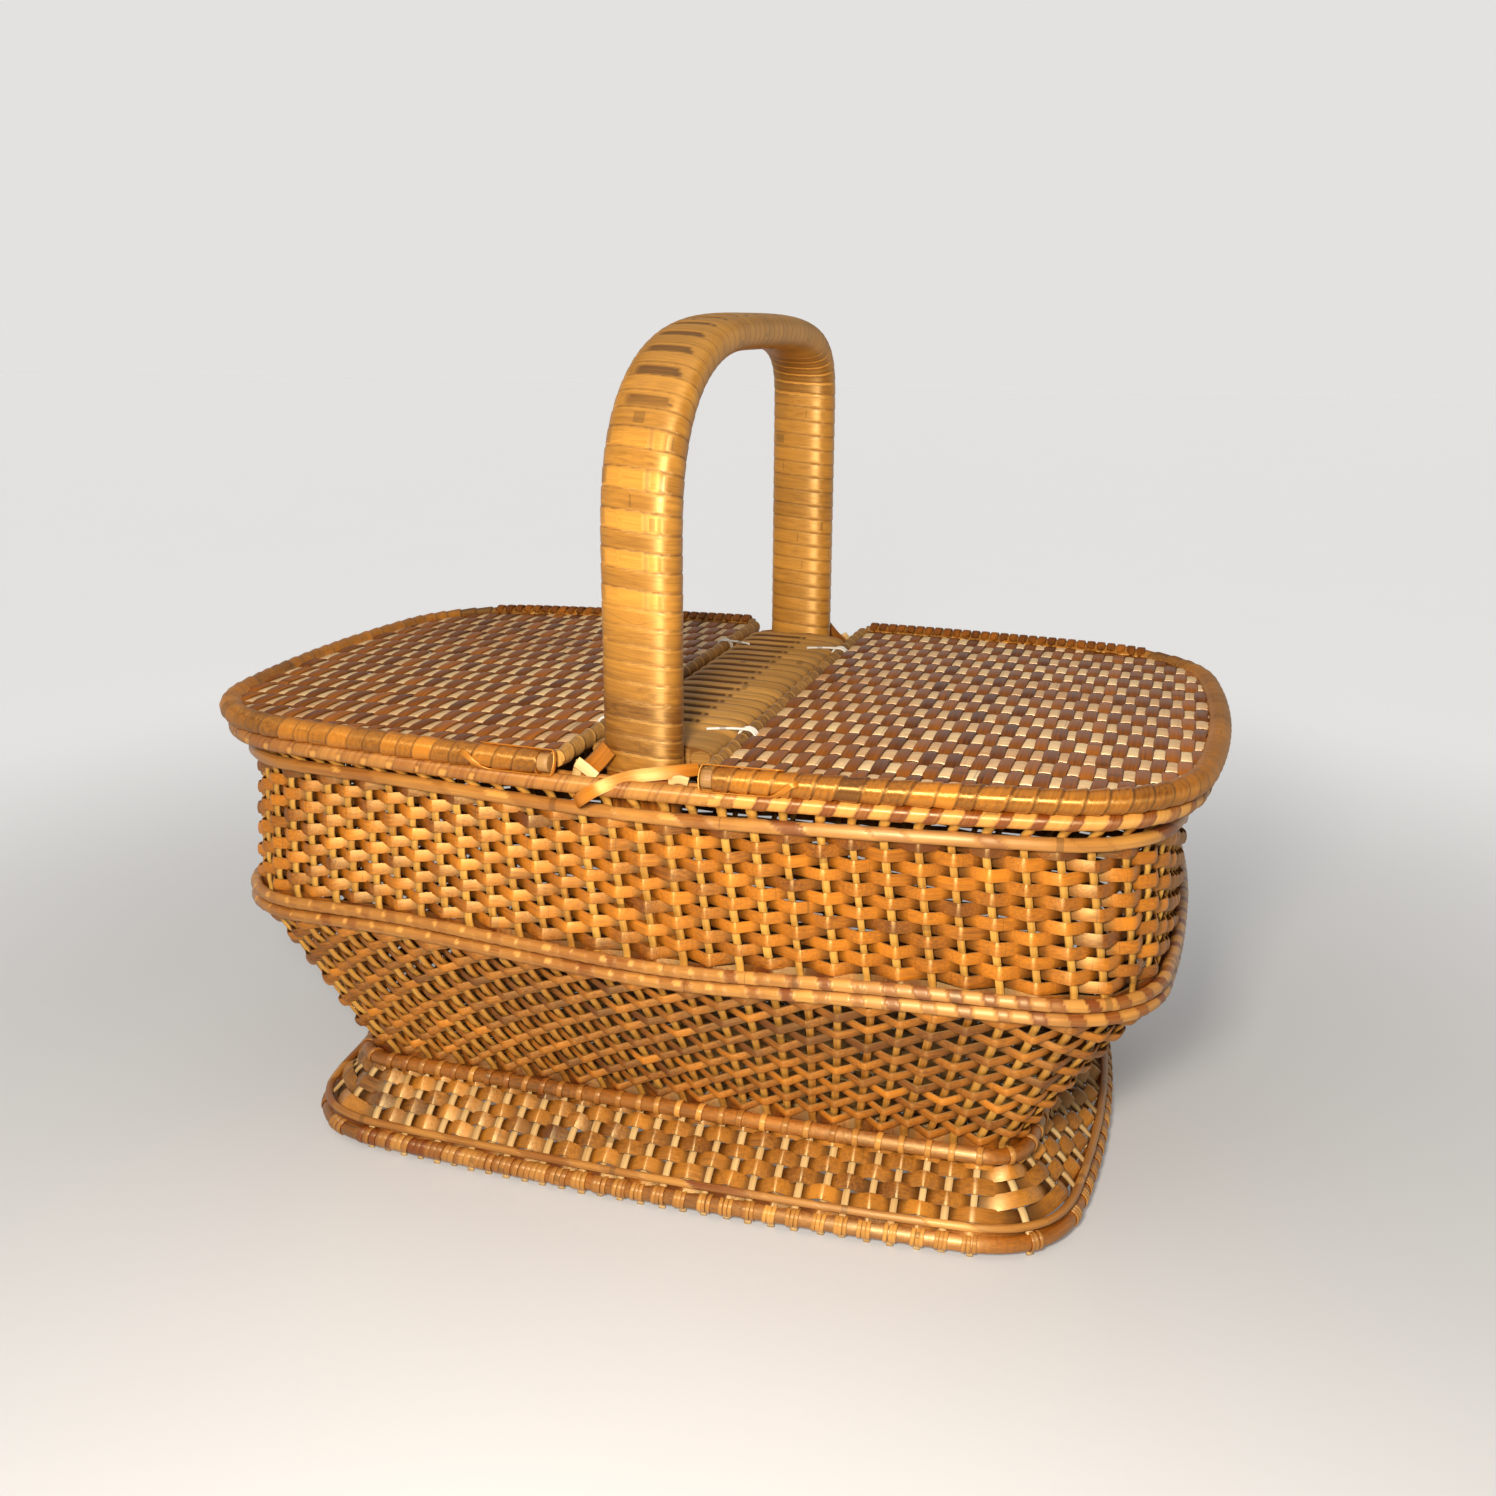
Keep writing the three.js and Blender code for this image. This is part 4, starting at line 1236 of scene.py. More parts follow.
    def stake_runs(self, rod: Rod) -> Points:
        """Distances along a hoop at which it crosses the stakes."""
        z = float(rod.points[:, 2].mean())
        heights = np.full(self.stakes, z)
        stakes = self.surface.at(self.stake_share(np.arange(self.stakes), heights), heights)
        gaps = np.linalg.norm(rod.points[None, :, :2] - stakes[:, None, :2], axis=2)
        return rod.run[gaps.argmin(axis=1)]

    def foot_and_waist(self) -> None:
        """Makes the foot hoop, the band above it and the waist hoop."""
        hoop_line = Rod.around(self.foot_loop, self.foot_z + 0.9 * MM, self.level)
        self.hoop(
            "foot_hoop", "foot_hoop_outer", hoop_line, radius=3.4 * MM, bands=5.2 * MM,
            band_turn=(-2.2, 2.9), strands=3, seed=201, widen=3.6 * MM,
        )
        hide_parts("foot_hoop_inner")
        rise = 3.8 * MM
        share = rise / (self.waist_z - 3.5 * MM - self.skirt_turn)
        plan = self.foot_loop.at(np.linspace(0, 1, 900, endpoint=False)) * (1 - share)
        plan = plan + self.waist_loop.at(np.linspace(0, 1, 900, endpoint=False)) * share
        band_loop = Loop(plan).grown(4.4 * MM)
        band_line = Rod.around(band_loop, self.skirt_turn + rise, self.level, count=1000)
        self.lapped(
            "foot_band", "foot_band", band_line, radius=1.7 * MM, pitch=76 * MM, slant=7 * MM,
            tones=[0.5, 0.3, 0.62, 0.4], shares=[0.3, 0.52, 0.8, 1.0], seed=202,
        )
        waist_line = Rod.around(self.outside(self.waist_loop, 3.2 * MM), self.waist_z, self.level)
        self.hoop(
            "waist_hoop", "waist_hoop", waist_line, radius=3.15 * MM, bands=2.6 * MM, band_turn=(-2.6, 2.6),
            strands=1, seed=203,
        )

    def lapped(
        self,
        name: str,
        node: str,
        rod: Rod,
        radius: float,
        pitch: float,
        slant: float,
        tones: list[float],
        shares: list[float],
        seed: int,
        calm: float = 0.0,
    ) -> None:
        """Makes a smooth rod of cane strips that lap over each other in slants.

        Args:
            name: the piece's name.
            node: the solid that it stands for.
            rod: the rod's line.
            radius: the rod's radius.
            pitch: the distance after which the strips repeat.
            slant: how far a lap leans along the rod, from its top to its bottom.
            tones: the strips' tones, in turn.
            shares: where each strip ends, in shares of the pitch.
            seed: number that fixes the unevenness.
            calm: how far the strips' tones draw together on the left of the front.
        """
        rng = np.random.default_rng(seed)
        plain = calm * (1 - ramp(rod.points[:, 0], -0.02, 0.07)) * (rod.points[:, 1] < 0.03)
        count = int(rod.length / pitch) + 4
        drifts = rng.normal(0, 0.12, (count, len(tones)))
        moves = rng.normal(0, 0.05, (count, len(tones)))

        def pattern(run: Points, angle: Points) -> tuple[Points, Points]:
            """Tone and swelling of the rod.

            Args:
                run: distances along it.
                angle: angles around it, from its outer side upwards.

            Returns:
                The two values, by ring and place.
            """
            place = (run + slant * angle / math.pi) / pitch + 1
            turn = np.clip(np.floor(place).astype(int), 0, count - 1)
            share = place - np.floor(place)
            strip = np.zeros(share.shape, int)
            for k, stop in enumerate(shares[:-1]):
                strip += share > stop + moves[turn, k]
            ends = np.array(shares)
            begins = np.concatenate([[0.0], ends[:-1]])
            within = np.clip((share - begins[strip]) / (ends - begins)[strip], 0, 1)
            tone = np.clip(np.array(tones)[strip] + drifts[turn, strip], 0, 1)
            tone = tone + plain[:, None] * (0.4 + 0.5 * drifts[turn, strip] - tone)
            glint = (plain[:, None] > 0.3) & (within > 0.8) & (strip == 0) & (angle > 0.15) & (angle < 1.3)
            return np.where(glint, 1.0, tone), 0.94 + 0.1 * within

        mesh = StrandMesh(name)
        mesh.sleeve(rod, radius, pattern)
        dress(mesh.build([SPLICE]), self.body, "amber_cane", node)

    def belts(self) -> None:
        """Makes the two belt rods, wound with a straw and an amber strip in turn."""
        line = self.outside(self.belt_loop, 2.4 * MM)
        for name, z, pitch, seed in (
            ("belt_rod_lower", self.belt_low_z, 13.4 * MM, 211),
            ("belt_rod_upper", self.belt_high_z, 12.2 * MM, 212),
        ):
            rod = Rod.around(line, z, self.belt_lift, count=1400)
            self.lapped(
                name, name, rod, radius=2.55 * MM, pitch=pitch, slant=2.2 * MM,
                tones=[0.66, 0.16], shares=[0.6, 1.0], seed=seed, calm=0.95,
            )

    @staticmethod
    def checkered(rod: Rod, pitch: float = 12.3 * MM) -> WoundPattern:
        """Pattern of brown wraps over pale runners, which hardly show on the left of the front.

        Args:
            rod: the hoop's line.
            pitch: the distance between wraps.

        Returns:
            The pattern, for a wound bar.
        """
        rng = np.random.default_rng(222)
        turns = int(rod.length / pitch) + 4
        drifts = rng.normal(0, 0.09, turns)
        widths = rng.normal(0, 0.05, turns)
        front = rod.points[:, 1] < 0.03
        covered = np.where(front, 1 - ramp(rod.points[:, 0], 0.024, 0.046), 0.4)
        plain = front & (np.abs(rod.points[:, 0]) < 0.06)

        def read(run: Points, around: Points, across: Points, facing: Points) -> tuple[Points, ...]:
            """Place across the strip, tone, rise and tuck of the wound strip.

            Args:
                run: distances along the bar.
                around: shares around it.
                across: places across it, from -1 to 1.
                facing: how far its surface faces outwards there.

            Returns:
                The four values, by ring and place.
            """
            turn = run / pitch - 0.13 * across + 1
            number = np.clip(np.floor(turn).astype(int), 0, turns - 1)
            within = turn - number
            share = 0.4 + 0.38 * covered[:, None] + widths[number]
            hidden = (covered[:, None] > 0.5) & ((across > 0.25) | (across < -0.75))
            hidden = hidden | ((covered > 0.9) & plain)[:, None]
            pale = (within > share) & ~hidden & (facing > -0.2)
            brown = 0.36 - 0.2 * (1 - covered[:, None])
            tone = np.where(pale, 0.95, brown) + drifts[number]
            # Painted shade where a wrap meets a runner or the next turn, in tone and in tuck.
            gap = np.exp(-(np.minimum(np.abs(within - share), np.minimum(within, 1 - within)) / 0.03) ** 2)
            rise = np.where(pale, -0.15 * MM, 0.15 * MM) - 0.1 * MM * gap
            return within, np.clip(tone - 0.25 * gap, 0, 1), rise, 0.2 * gap

        return read

    def rail_and_rim(self) -> None:
        """Makes the top rail, the rim hoop and the liner inside."""
        rail_loop = self.outside(self.rail_loop, 2.5 * MM)
        rail_line = Rod.around(rail_loop, self.rail_z + 1.6 * MM, self.rail_lift, count=1000)
        self.lapped(
            "top_rail", "top_rail", rail_line, radius=2.65 * MM, pitch=72 * MM, slant=8 * MM,
            tones=[0.58, 0.36, 0.66, 0.3], shares=[0.32, 0.5, 0.84, 1.0], seed=221, calm=0.7,
        )
        rim_line = Rod.around(self.outside(self.rim_loop, 3 * MM), self.rim_z, self.level, count=2000)
        mesh = StrandMesh("rim_hoop")
        WoundBar(3.3 * MM, 3.3 * MM, 2.0, 20).cover(mesh, rim_line, self.checkered(rim_line))
        dress(mesh.build([SPLICE]), self.body, "amber_cane", "rim_hoop")
        liner_loop = self.rim_loop.grown(-self.wall / 2 - self.fit - 2.2 * MM)
        liner_line = Rod.around(liner_loop, self.rim_z, self.level)
        self.lapped(
            "rim_liner", "rim_liner", liner_line, radius=2.2 * MM, pitch=18 * MM, slant=3 * MM,
            tones=[0.5, 0.3], shares=[0.5, 1.0], seed=224,
        )

    def floor(self) -> None:
        """Weaves the floor inside the waist."""
        loop = self.waist_loop.grown(-self.wall / 2 - self.fit)
        z = middle("floor_panel").z
        mesh = StrandMesh("floor_panel")
        pitch = 9.2 * MM
        rng = np.random.default_rng(301)
        for across in (False, True):
            half = (self.waist.half_depth if across else self.waist.half_length) - 5 * MM
            count = int(2 * half / pitch)
            for k in range(count):
                place = (k - (count - 1) / 2) * pitch
                reach = float(loop.half_length(place) if across else loop.half_depth(place))
                run = np.linspace(-reach, reach, int(2 * reach / pitch) * 4)
                wave = crest(math.pi * (run / pitch + k + (0.0 if across else 1.0)))
                fixed = np.full_like(run, place)
                height = z + 0.55 * MM * wave
                path = np.column_stack([run, fixed, height] if across else [fixed, run, height])
                face = np.tile([0.0, 0.0, 1.0], (len(run), 1))
                # Tuck paints shade where a strip dips under its neighbour.
                mesh.strand(path, face, 8.4 * MM, 0.8 * MM, tone=np.clip(rng.normal(0.5, 0.2), 0, 1),
                            tuck=np.clip(0.2 - 0.6 * wave, 0, 1), section=Section.LEAN)
        dress(mesh.build([FLOOR]), self.body, "pale_cane", "floor_panel")

    def build(self) -> None:
        """Makes every piece of the body."""
        self.walls()
        self.foot_and_waist()
        self.belts()
        self.rail_and_rim()
        self.floor()


@dataclass
class Handle:
    """The fixed arch, its wound strip with woven-in runners, and the lashing at its feet."""

    half_width: float = 14.3 * MM
    half_thickness: float = 6.5 * MM
    squareness: float = 2.7
    front_rise: float = 79 * MM
    front_fullness: float = 2.75
    back_rise: float = 40 * MM
    back_fullness: float = 3.8
    pitch: float = 6.9 * MM
    strip_thickness: float = 1.0 * MM
    bare_below: float = 187.5 * MM
    bricks_from: float = 52 * MM
    slots_from: float = 138 * MM
    slots_end: float = 300 * MM
    body: str = "basket"

    def line(self) -> Rod:
        """Middle line of the bow, from the front foot over the arch to the back foot."""
        low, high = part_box("handle_bow")
        leg_y = (high.y - low.y) / 2 - self.half_thickness
        top = high.z - self.half_thickness
        quarter = np.linspace(0, math.pi / 2, 3000)
        sides = []
        front, back = (self.front_rise, self.front_fullness), (self.back_rise, self.back_fullness)
        for rise, fullness in (front, back):
            depth = leg_y * np.cos(quarter) ** (2 / fullness)
            height = top - rise + rise * np.sin(quarter) ** (2 / fullness)
            leg = np.linspace(low.z, top - rise, 200, endpoint=False)
            sides.append((np.concatenate([np.full(200, leg_y), depth]), np.concatenate([leg, height])))
        y = np.concatenate([-sides[0][0], sides[1][0][::-1]])
        z = np.concatenate([sides[0][1], sides[1][1][::-1]])
        points = np.column_stack([np.zeros_like(y), y, z])
        run = distances(points)
        points = smoothed(read_off(np.linspace(0, run[-1], 1300), run, points), 30)
        across = np.tile([1.0, 0.0, 0.0], (len(points), 1))
        along = unit(np.gradient(points, axis=0))
        return Rod(points, unit(np.cross(across, along)), across)

    def bow(self, rod: Rod) -> None:
        """Makes the bow under the wrap from five canes side by side."""
        mesh = StrandMesh("handle_bow")
        strips = 5
        width = 2 * self.half_width / strips
        for k in range(strips):
            share = (k + 0.5) / strips * 2 - 1
            path = rod.points[::6] + rod.up[::6] * (share * self.half_width * 0.98)
            thickness = 2 * self.half_thickness * (1 - 0.25 * share ** 2)
            # The hidden bow gets a constant painted shade through tuck.
            mesh.strand(path, rod.out[::6], width * 0.98, thickness, tone=0.3 + 0.1 * k, tuck=0.3)
        dress(mesh.build([GLOSS]), self.body, "amber_cane", "handle_bow")

    def wrap(self, rod: Rod) -> None:
        """Winds the strip around the bow, with runners woven in along its outer face."""
        first = float(np.interp(self.bare_below, rod.points[:300, 2], rod.run[:300]))
        inside = (rod.run >= first) & (rod.run <= rod.length - first)
        wound = Rod(rod.points[inside], rod.out[inside], rod.up[inside])
        rng = np.random.default_rng(401)
        turns = int(wound.length / self.pitch) + 6
        drifts = rng.normal(0, 0.1, turns)
        widths = np.cumsum(rng.normal(0, 0.03, turns))
        bend = np.linalg.norm(np.gradient(unit(np.gradient(wound.points, axis=0)), axis=0), axis=1)
        bend = bend / np.gradient(wound.run)

        def pattern(run: Points, around: Points, across: Points, facing: Points) -> tuple[Points, ...]:
            """Place across the strip, tone, rise and tuck of the wound strip.

            Args:
                run: distances along the bar.
                around: shares around it.
                across: places across it, from -1 to 1.
                facing: how far its surface faces outwards there.

            Returns:
                The four values, by ring and place.
            """
            turn = run / self.pitch + around + np.interp(run / self.pitch, np.arange(turns), widths)
            number = np.floor(turn)
            within = turn - number
            odd = np.mod(number, 2) == 1
            tone = 0.5 + np.interp(number - around, np.arange(-2, turns - 2), drifts)
            tone = tone - 0.24 * (1 - ramp(run, 0.03, 0.07)) + 0.16 * ramp(run, 0.15, 0.19)
            outer = ramp(facing, 0.05, 0.4)
            seam = np.exp(-(np.minimum(within, 1 - within) / 0.06) ** 2)
            rise = self.strip_thickness * 0.6 + 0.2 * MM * (within - 0.5) - 0.22 * MM * seam
            seam = seam * (0.5 + 0.5 * ramp(run, 0.04, 0.09))
            # Painted shade along the seams between turns, in tone and in tuck.
            tone = tone - 0.34 * seam + 0.16 * ramp(within, 0.8, 0.93)
            tuck = 0.35 * seam
            # Pale runners that show as bricks on the leg
            brick = outer * odd * ramp(run, self.bricks_from, self.bricks_from + 0.02)
            brick = brick * (1 - ramp(run, self.slots_from - 0.022, self.slots_from - 0.004))
            for low, high, pale in ((-0.8, -0.44, 0.88), (-0.4, 0.25, 0.97), (0.3, 0.6, 1.0)):
                column = ramp(across, low - 0.02, low + 0.02) * (1 - ramp(across, high - 0.02, high + 0.02))
                tone = tone + brick * column * (pale - tone) * 0.85
            # Pale ticks along one edge
            line = outer * ramp(run, self.bricks_from - 0.01, self.bricks_from) * (within < 0.14)
            tone = np.where((line > 0.5) & (across < -0.76) & (across > -0.97) & odd, 0.95, tone)
            # Slots over the arch, smaller towards the back, sunk a little and darkened with painted shade
            slot = ramp(run, self.slots_from - 0.014, self.slots_from + 0.004)
            slot = slot * (1 - ramp(run, self.slots_end - 0.03, self.slots_end)) * outer
            shrink = ramp(run, self.slots_from, self.slots_end)
            inner = ramp(across, -0.7, -0.5) * (1 - ramp(across, 0.52 - 0.3 * shrink, 0.56 - 0.3 * shrink))
            reach = ramp(within, 0.1, 0.16) * (1 - ramp(within, 0.68 - 0.3 * shrink, 0.78 - 0.3 * shrink))
            hollow = slot * inner * reach * odd
            rise = rise - 0.45 * MM * hollow
            tone = tone + hollow * (0.05 - tone)
            tuck = tuck + 0.35 * hollow
            # Black dots of painted shadow for the gaps beside the slots
            dot = (slot > 0.5) & odd & (np.abs(across - 0.6) < 0.045) & (within > 0.08) & (within < 0.4)
            tone = np.where(dot, 0.0, tone)
            tuck = np.where(dot, 1.0, tuck)
            edge = slot * (1 - hollow) * ramp(within, 0.84, 0.92)
            tone = tone + 0.35 * edge
            tight = ramp(bend, 8.0, 18.0)[:, None] * (1 - ramp(facing, -0.6, -0.2))
            tone = tone + tight * (np.where(within < 0.22, 1.0, 0.3) - tone) * 0.9
            # A black line of painted shadow marks a split between two turns.
            split = (np.abs(turn - int(0.288 / self.pitch)) < 0.05) & (across > -0.2)
            tone = np.where(split, 0.0, tone)
            tuck = np.where(split, 1.0, tuck)
            return within, np.clip(tone, 0, 1), rise, np.clip(tuck, 0, 1)

        bar = WoundBar(self.half_thickness + 0.5 * MM, self.half_width + 0.5 * MM, self.squareness)
        mesh = StrandMesh("handle_wrap")
        bar.cover(mesh, wound, pattern)
        dress(mesh.build([HANDLE]), self.body, "amber_cane", "handle_wrap")

    @staticmethod
    def laid(marks: Marks, end: int, count: int, rounds: int) -> Points:
        """Smooth line of a strip at a leg's foot.

        Args:
            marks: places that the strip passes at the front foot, in millimetres, with Y counted forwards.
            end: -1 at the front and 1 at the back.
            count: the number of points.
            rounds: how much the bends are rounded.

        Returns:
            The line.
        """
        spots = np.array(marks) * MM
        line = read_off(np.linspace(0, len(spots) - 1, count), np.arange(len(spots)), spots)
        return smoothed(line, rounds) * np.array([-end, end, 1.0])

    def cut_ends(self, mesh: StrandMesh, end: int) -> None:
        """Adds the cut ends of cane that stand out around a leg's foot.

        Args:
            mesh: the lashing's mesh.
            end: -1 at the front and 1 at the back.
        """
        brown_end = [
            (-11.0, 123.8, 197.5), (-15.0, 124.6, 192.5), (-19.0, 125.6, 188.5), (-23.0, 126.4, 185.0),
        ]
        left_flap = [(-23.5, 126.8, 185.0), (-22.6, 127.0, 188.5), (-21.2, 127.2, 192.0)]
        right_flap = [(-22.4, 127.9, 192.2), (-18.6, 128.2, 190.0), (-14.5, 128.4, 187.0)]
        short_end = [(14.0, 127.0, 187.6), (18.0, 127.6, 189.2), (22.0, 128.0, 188.6)]
        ends = (
            (brown_end, 8.0, 0.35, 0),
            (left_flap, 4.2, 0.45, 1),
            (right_flap, 4.4, 0.9, 1),
            (short_end, 3.4, 0.8, 1),
        )
        for marks, width, tone, finish in ends:
            line = self.laid(marks, end, 20, 6)
            face = np.tile(unit(np.array([[0.15 * end, float(end), 0.35]])), (len(line), 1))
            mesh.strand(line, face, width * MM, 0.8 * MM, tone=tone, finish=finish)

    def lashing(self, end: int) -> None:
        """Lays the flat strip across a leg's foot.

        Args:
            end: -1 at the front and 1 at the back.
        """
        name = "lashing_front" if end < 0 else "lashing_back"
        marks = [
            (-23.0, 127.0, 177.0), (-21.0, 134.0, 178.0), (-17.0, 139.4, 181.2), (-11.5, 139.8, 185.2),
            (-5.0, 136.2, 188.4), (2.0, 131.6, 190.0), (11.0, 128.4, 190.9), (19.0, 124.6, 191.5),
            (23.5, 120.5, 191.6),
        ]
        count = 60
        path = self.laid(marks, end, count, 12)
        rise = np.linspace(0.1, 0.5, count)
        out = np.column_stack([np.full(count, 0.1), np.full(count, float(end)), rise])
        mesh = StrandMesh(name)
        mesh.strand(path, unit(out), 5.0 * MM, 0.8 * MM, tone=0.62, section=Section.CRISP)
        self.cut_ends(mesh, end)
        dress(mesh.build([WEAVER, SKIRT_STAKE]), self.body, "amber_cane", name)

    def build(self) -> None:
        """Makes every piece of the handle."""
        rod = self.line()
        self.bow(rod)
        self.wrap(rod)
        self.lashing(-1)
        self.lashing(1)


@dataclass
class Crossbar:
    """The convex board between the handle's feet, wound across with olive strips."""

    half_width: float = 24 * MM
    half_thickness: float = 4 * MM
    squareness: float = 2.6
    pitch: float = 11.2 * MM
    strip_thickness: float = 0.9 * MM
    body: str = "basket"

    def board(self, reach: float, z: float) -> None:
        """Makes the board under the wrap from six canes side by side.

        Args:
            reach: half of its length.
            z: the height of its middle.
        """
        mesh = StrandMesh("crossbar_board")
        y = np.linspace(-reach, reach, 24)
        face = np.tile([0.0, 0.0, 1.0], (24, 1))
        for k in range(6):
            share = (k + 0.5) / 6 * 2 - 1
            thick = 2 * self.half_thickness * (1 - abs(share) ** self.squareness) ** (1 / self.squareness)
            path = np.column_stack([np.full(24, share * self.half_width), y, np.full(24, z)])
            # The board under the wrap gets a constant painted shade through tuck.
            mesh.strand(path, face, 2 * self.half_width / 6, thick, tone=0.45, tuck=0.2)
        dress(mesh.build([OLIVE]), self.body, "olive_cane", "crossbar_board")

    def build(self) -> None:
        """Makes the board and its wrap."""
        low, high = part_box("crossbar_board")
        reach, z = high.y, (low.z + high.z) / 2
        self.board(reach, z)
        count = 500
        wound = reach - 1.5 * MM
        points = np.column_stack([np.zeros(count), np.linspace(-wound, wound, count), np.full(count, z)])
        rod = Rod(points, np.tile([0.0, 0.0, 1.0], (count, 1)), np.tile([1.0, 0.0, 0.0], (count, 1)))
        rng = np.random.default_rng(501)
        turns = int(2 * wound / self.pitch) + 6
        drifts = rng.normal(0, 0.1, turns)
        widths = np.cumsum(rng.normal(0, 0.05, turns))

        def pattern(run: Points, around: Points, across: Points, facing: Points) -> tuple[Points, ...]:
            """Place across the strip, tone, rise and tuck of the wound strip.

            Args:
                run: distances along the bar.
                around: shares around it.
                across: places across it, from -1 to 1.
                facing: how far its surface faces outwards there.

            Returns:
                The four values, by ring and place.
            """
            bow = 0.42 * (1 - across ** 2) * ramp(facing, -0.2, 0.4)
            turn = run / self.pitch
            turn = turn + 0.35 * around + bow + np.interp(turn, np.arange(turns), widths)
            number = np.floor(turn)
            within = turn - number
            upper = ramp(facing, 0.1, 0.5)
            seam = np.exp(-(np.minimum(within, 1 - within) / 0.05) ** 2)
            plain = ramp(run, 0.02, 0.03)
            swell = plain * (1.1 * MM * (1 - (2 * within - 1) ** 2) + 0.4 * MM * (within - 0.5))
            rise = self.strip_thickness * 0.5 + swell - 0.5 * MM * seam * plain
            # Painted shade along the seams between turns, in tone here and in tuck below.
            tone = 0.7 + np.interp(number, np.arange(-2, turns - 2), drifts) - 0.5 * seam * plain
            # Pale ridge where one turn laps the next
            ridge = (1 - ramp(np.abs(within - 0.9), 0.03, 0.07)) * ramp(across, 0.2, 0.5) * plain
            tone = tone + ridge * 0.5
            # Slots on one half of the board, sunk a little and darkened with painted shadow
            hollow = upper * (1 - ramp(across, 0.18, 0.26)) * ramp(across, -0.95, -0.8) * plain
            hollow = hollow * (1 - ramp(within, 0.24, 0.32))
            rise = rise - 0.4 * MM * hollow
            tone = tone + hollow * (0.04 - tone)
            # Black dots of painted shadow for gaps beside the slots; tuck adds painted shade along the
            # seams and in the slots.
            dot = (upper > 0.5) & (np.abs(across - 0.3) < 0.035) & (within < 0.24) & (plain > 0.5)
            tuck = np.where(dot, 1.0, 0.5 * seam * plain + 0.8 * hollow)
            return within, np.clip(np.where(dot, 0.0, tone), 0, 1), rise, np.clip(tuck, 0, 1)

        bar = WoundBar(self.half_thickness + 0.4 * MM, self.half_width + 0.4 * MM, self.squareness, 72)
        wrap = StrandMesh("crossbar_wrap")
        bar.cover(wrap, rod, pattern)
        dress(wrap.build([OLIVE]), self.body, "olive_cane", "crossbar_wrap")


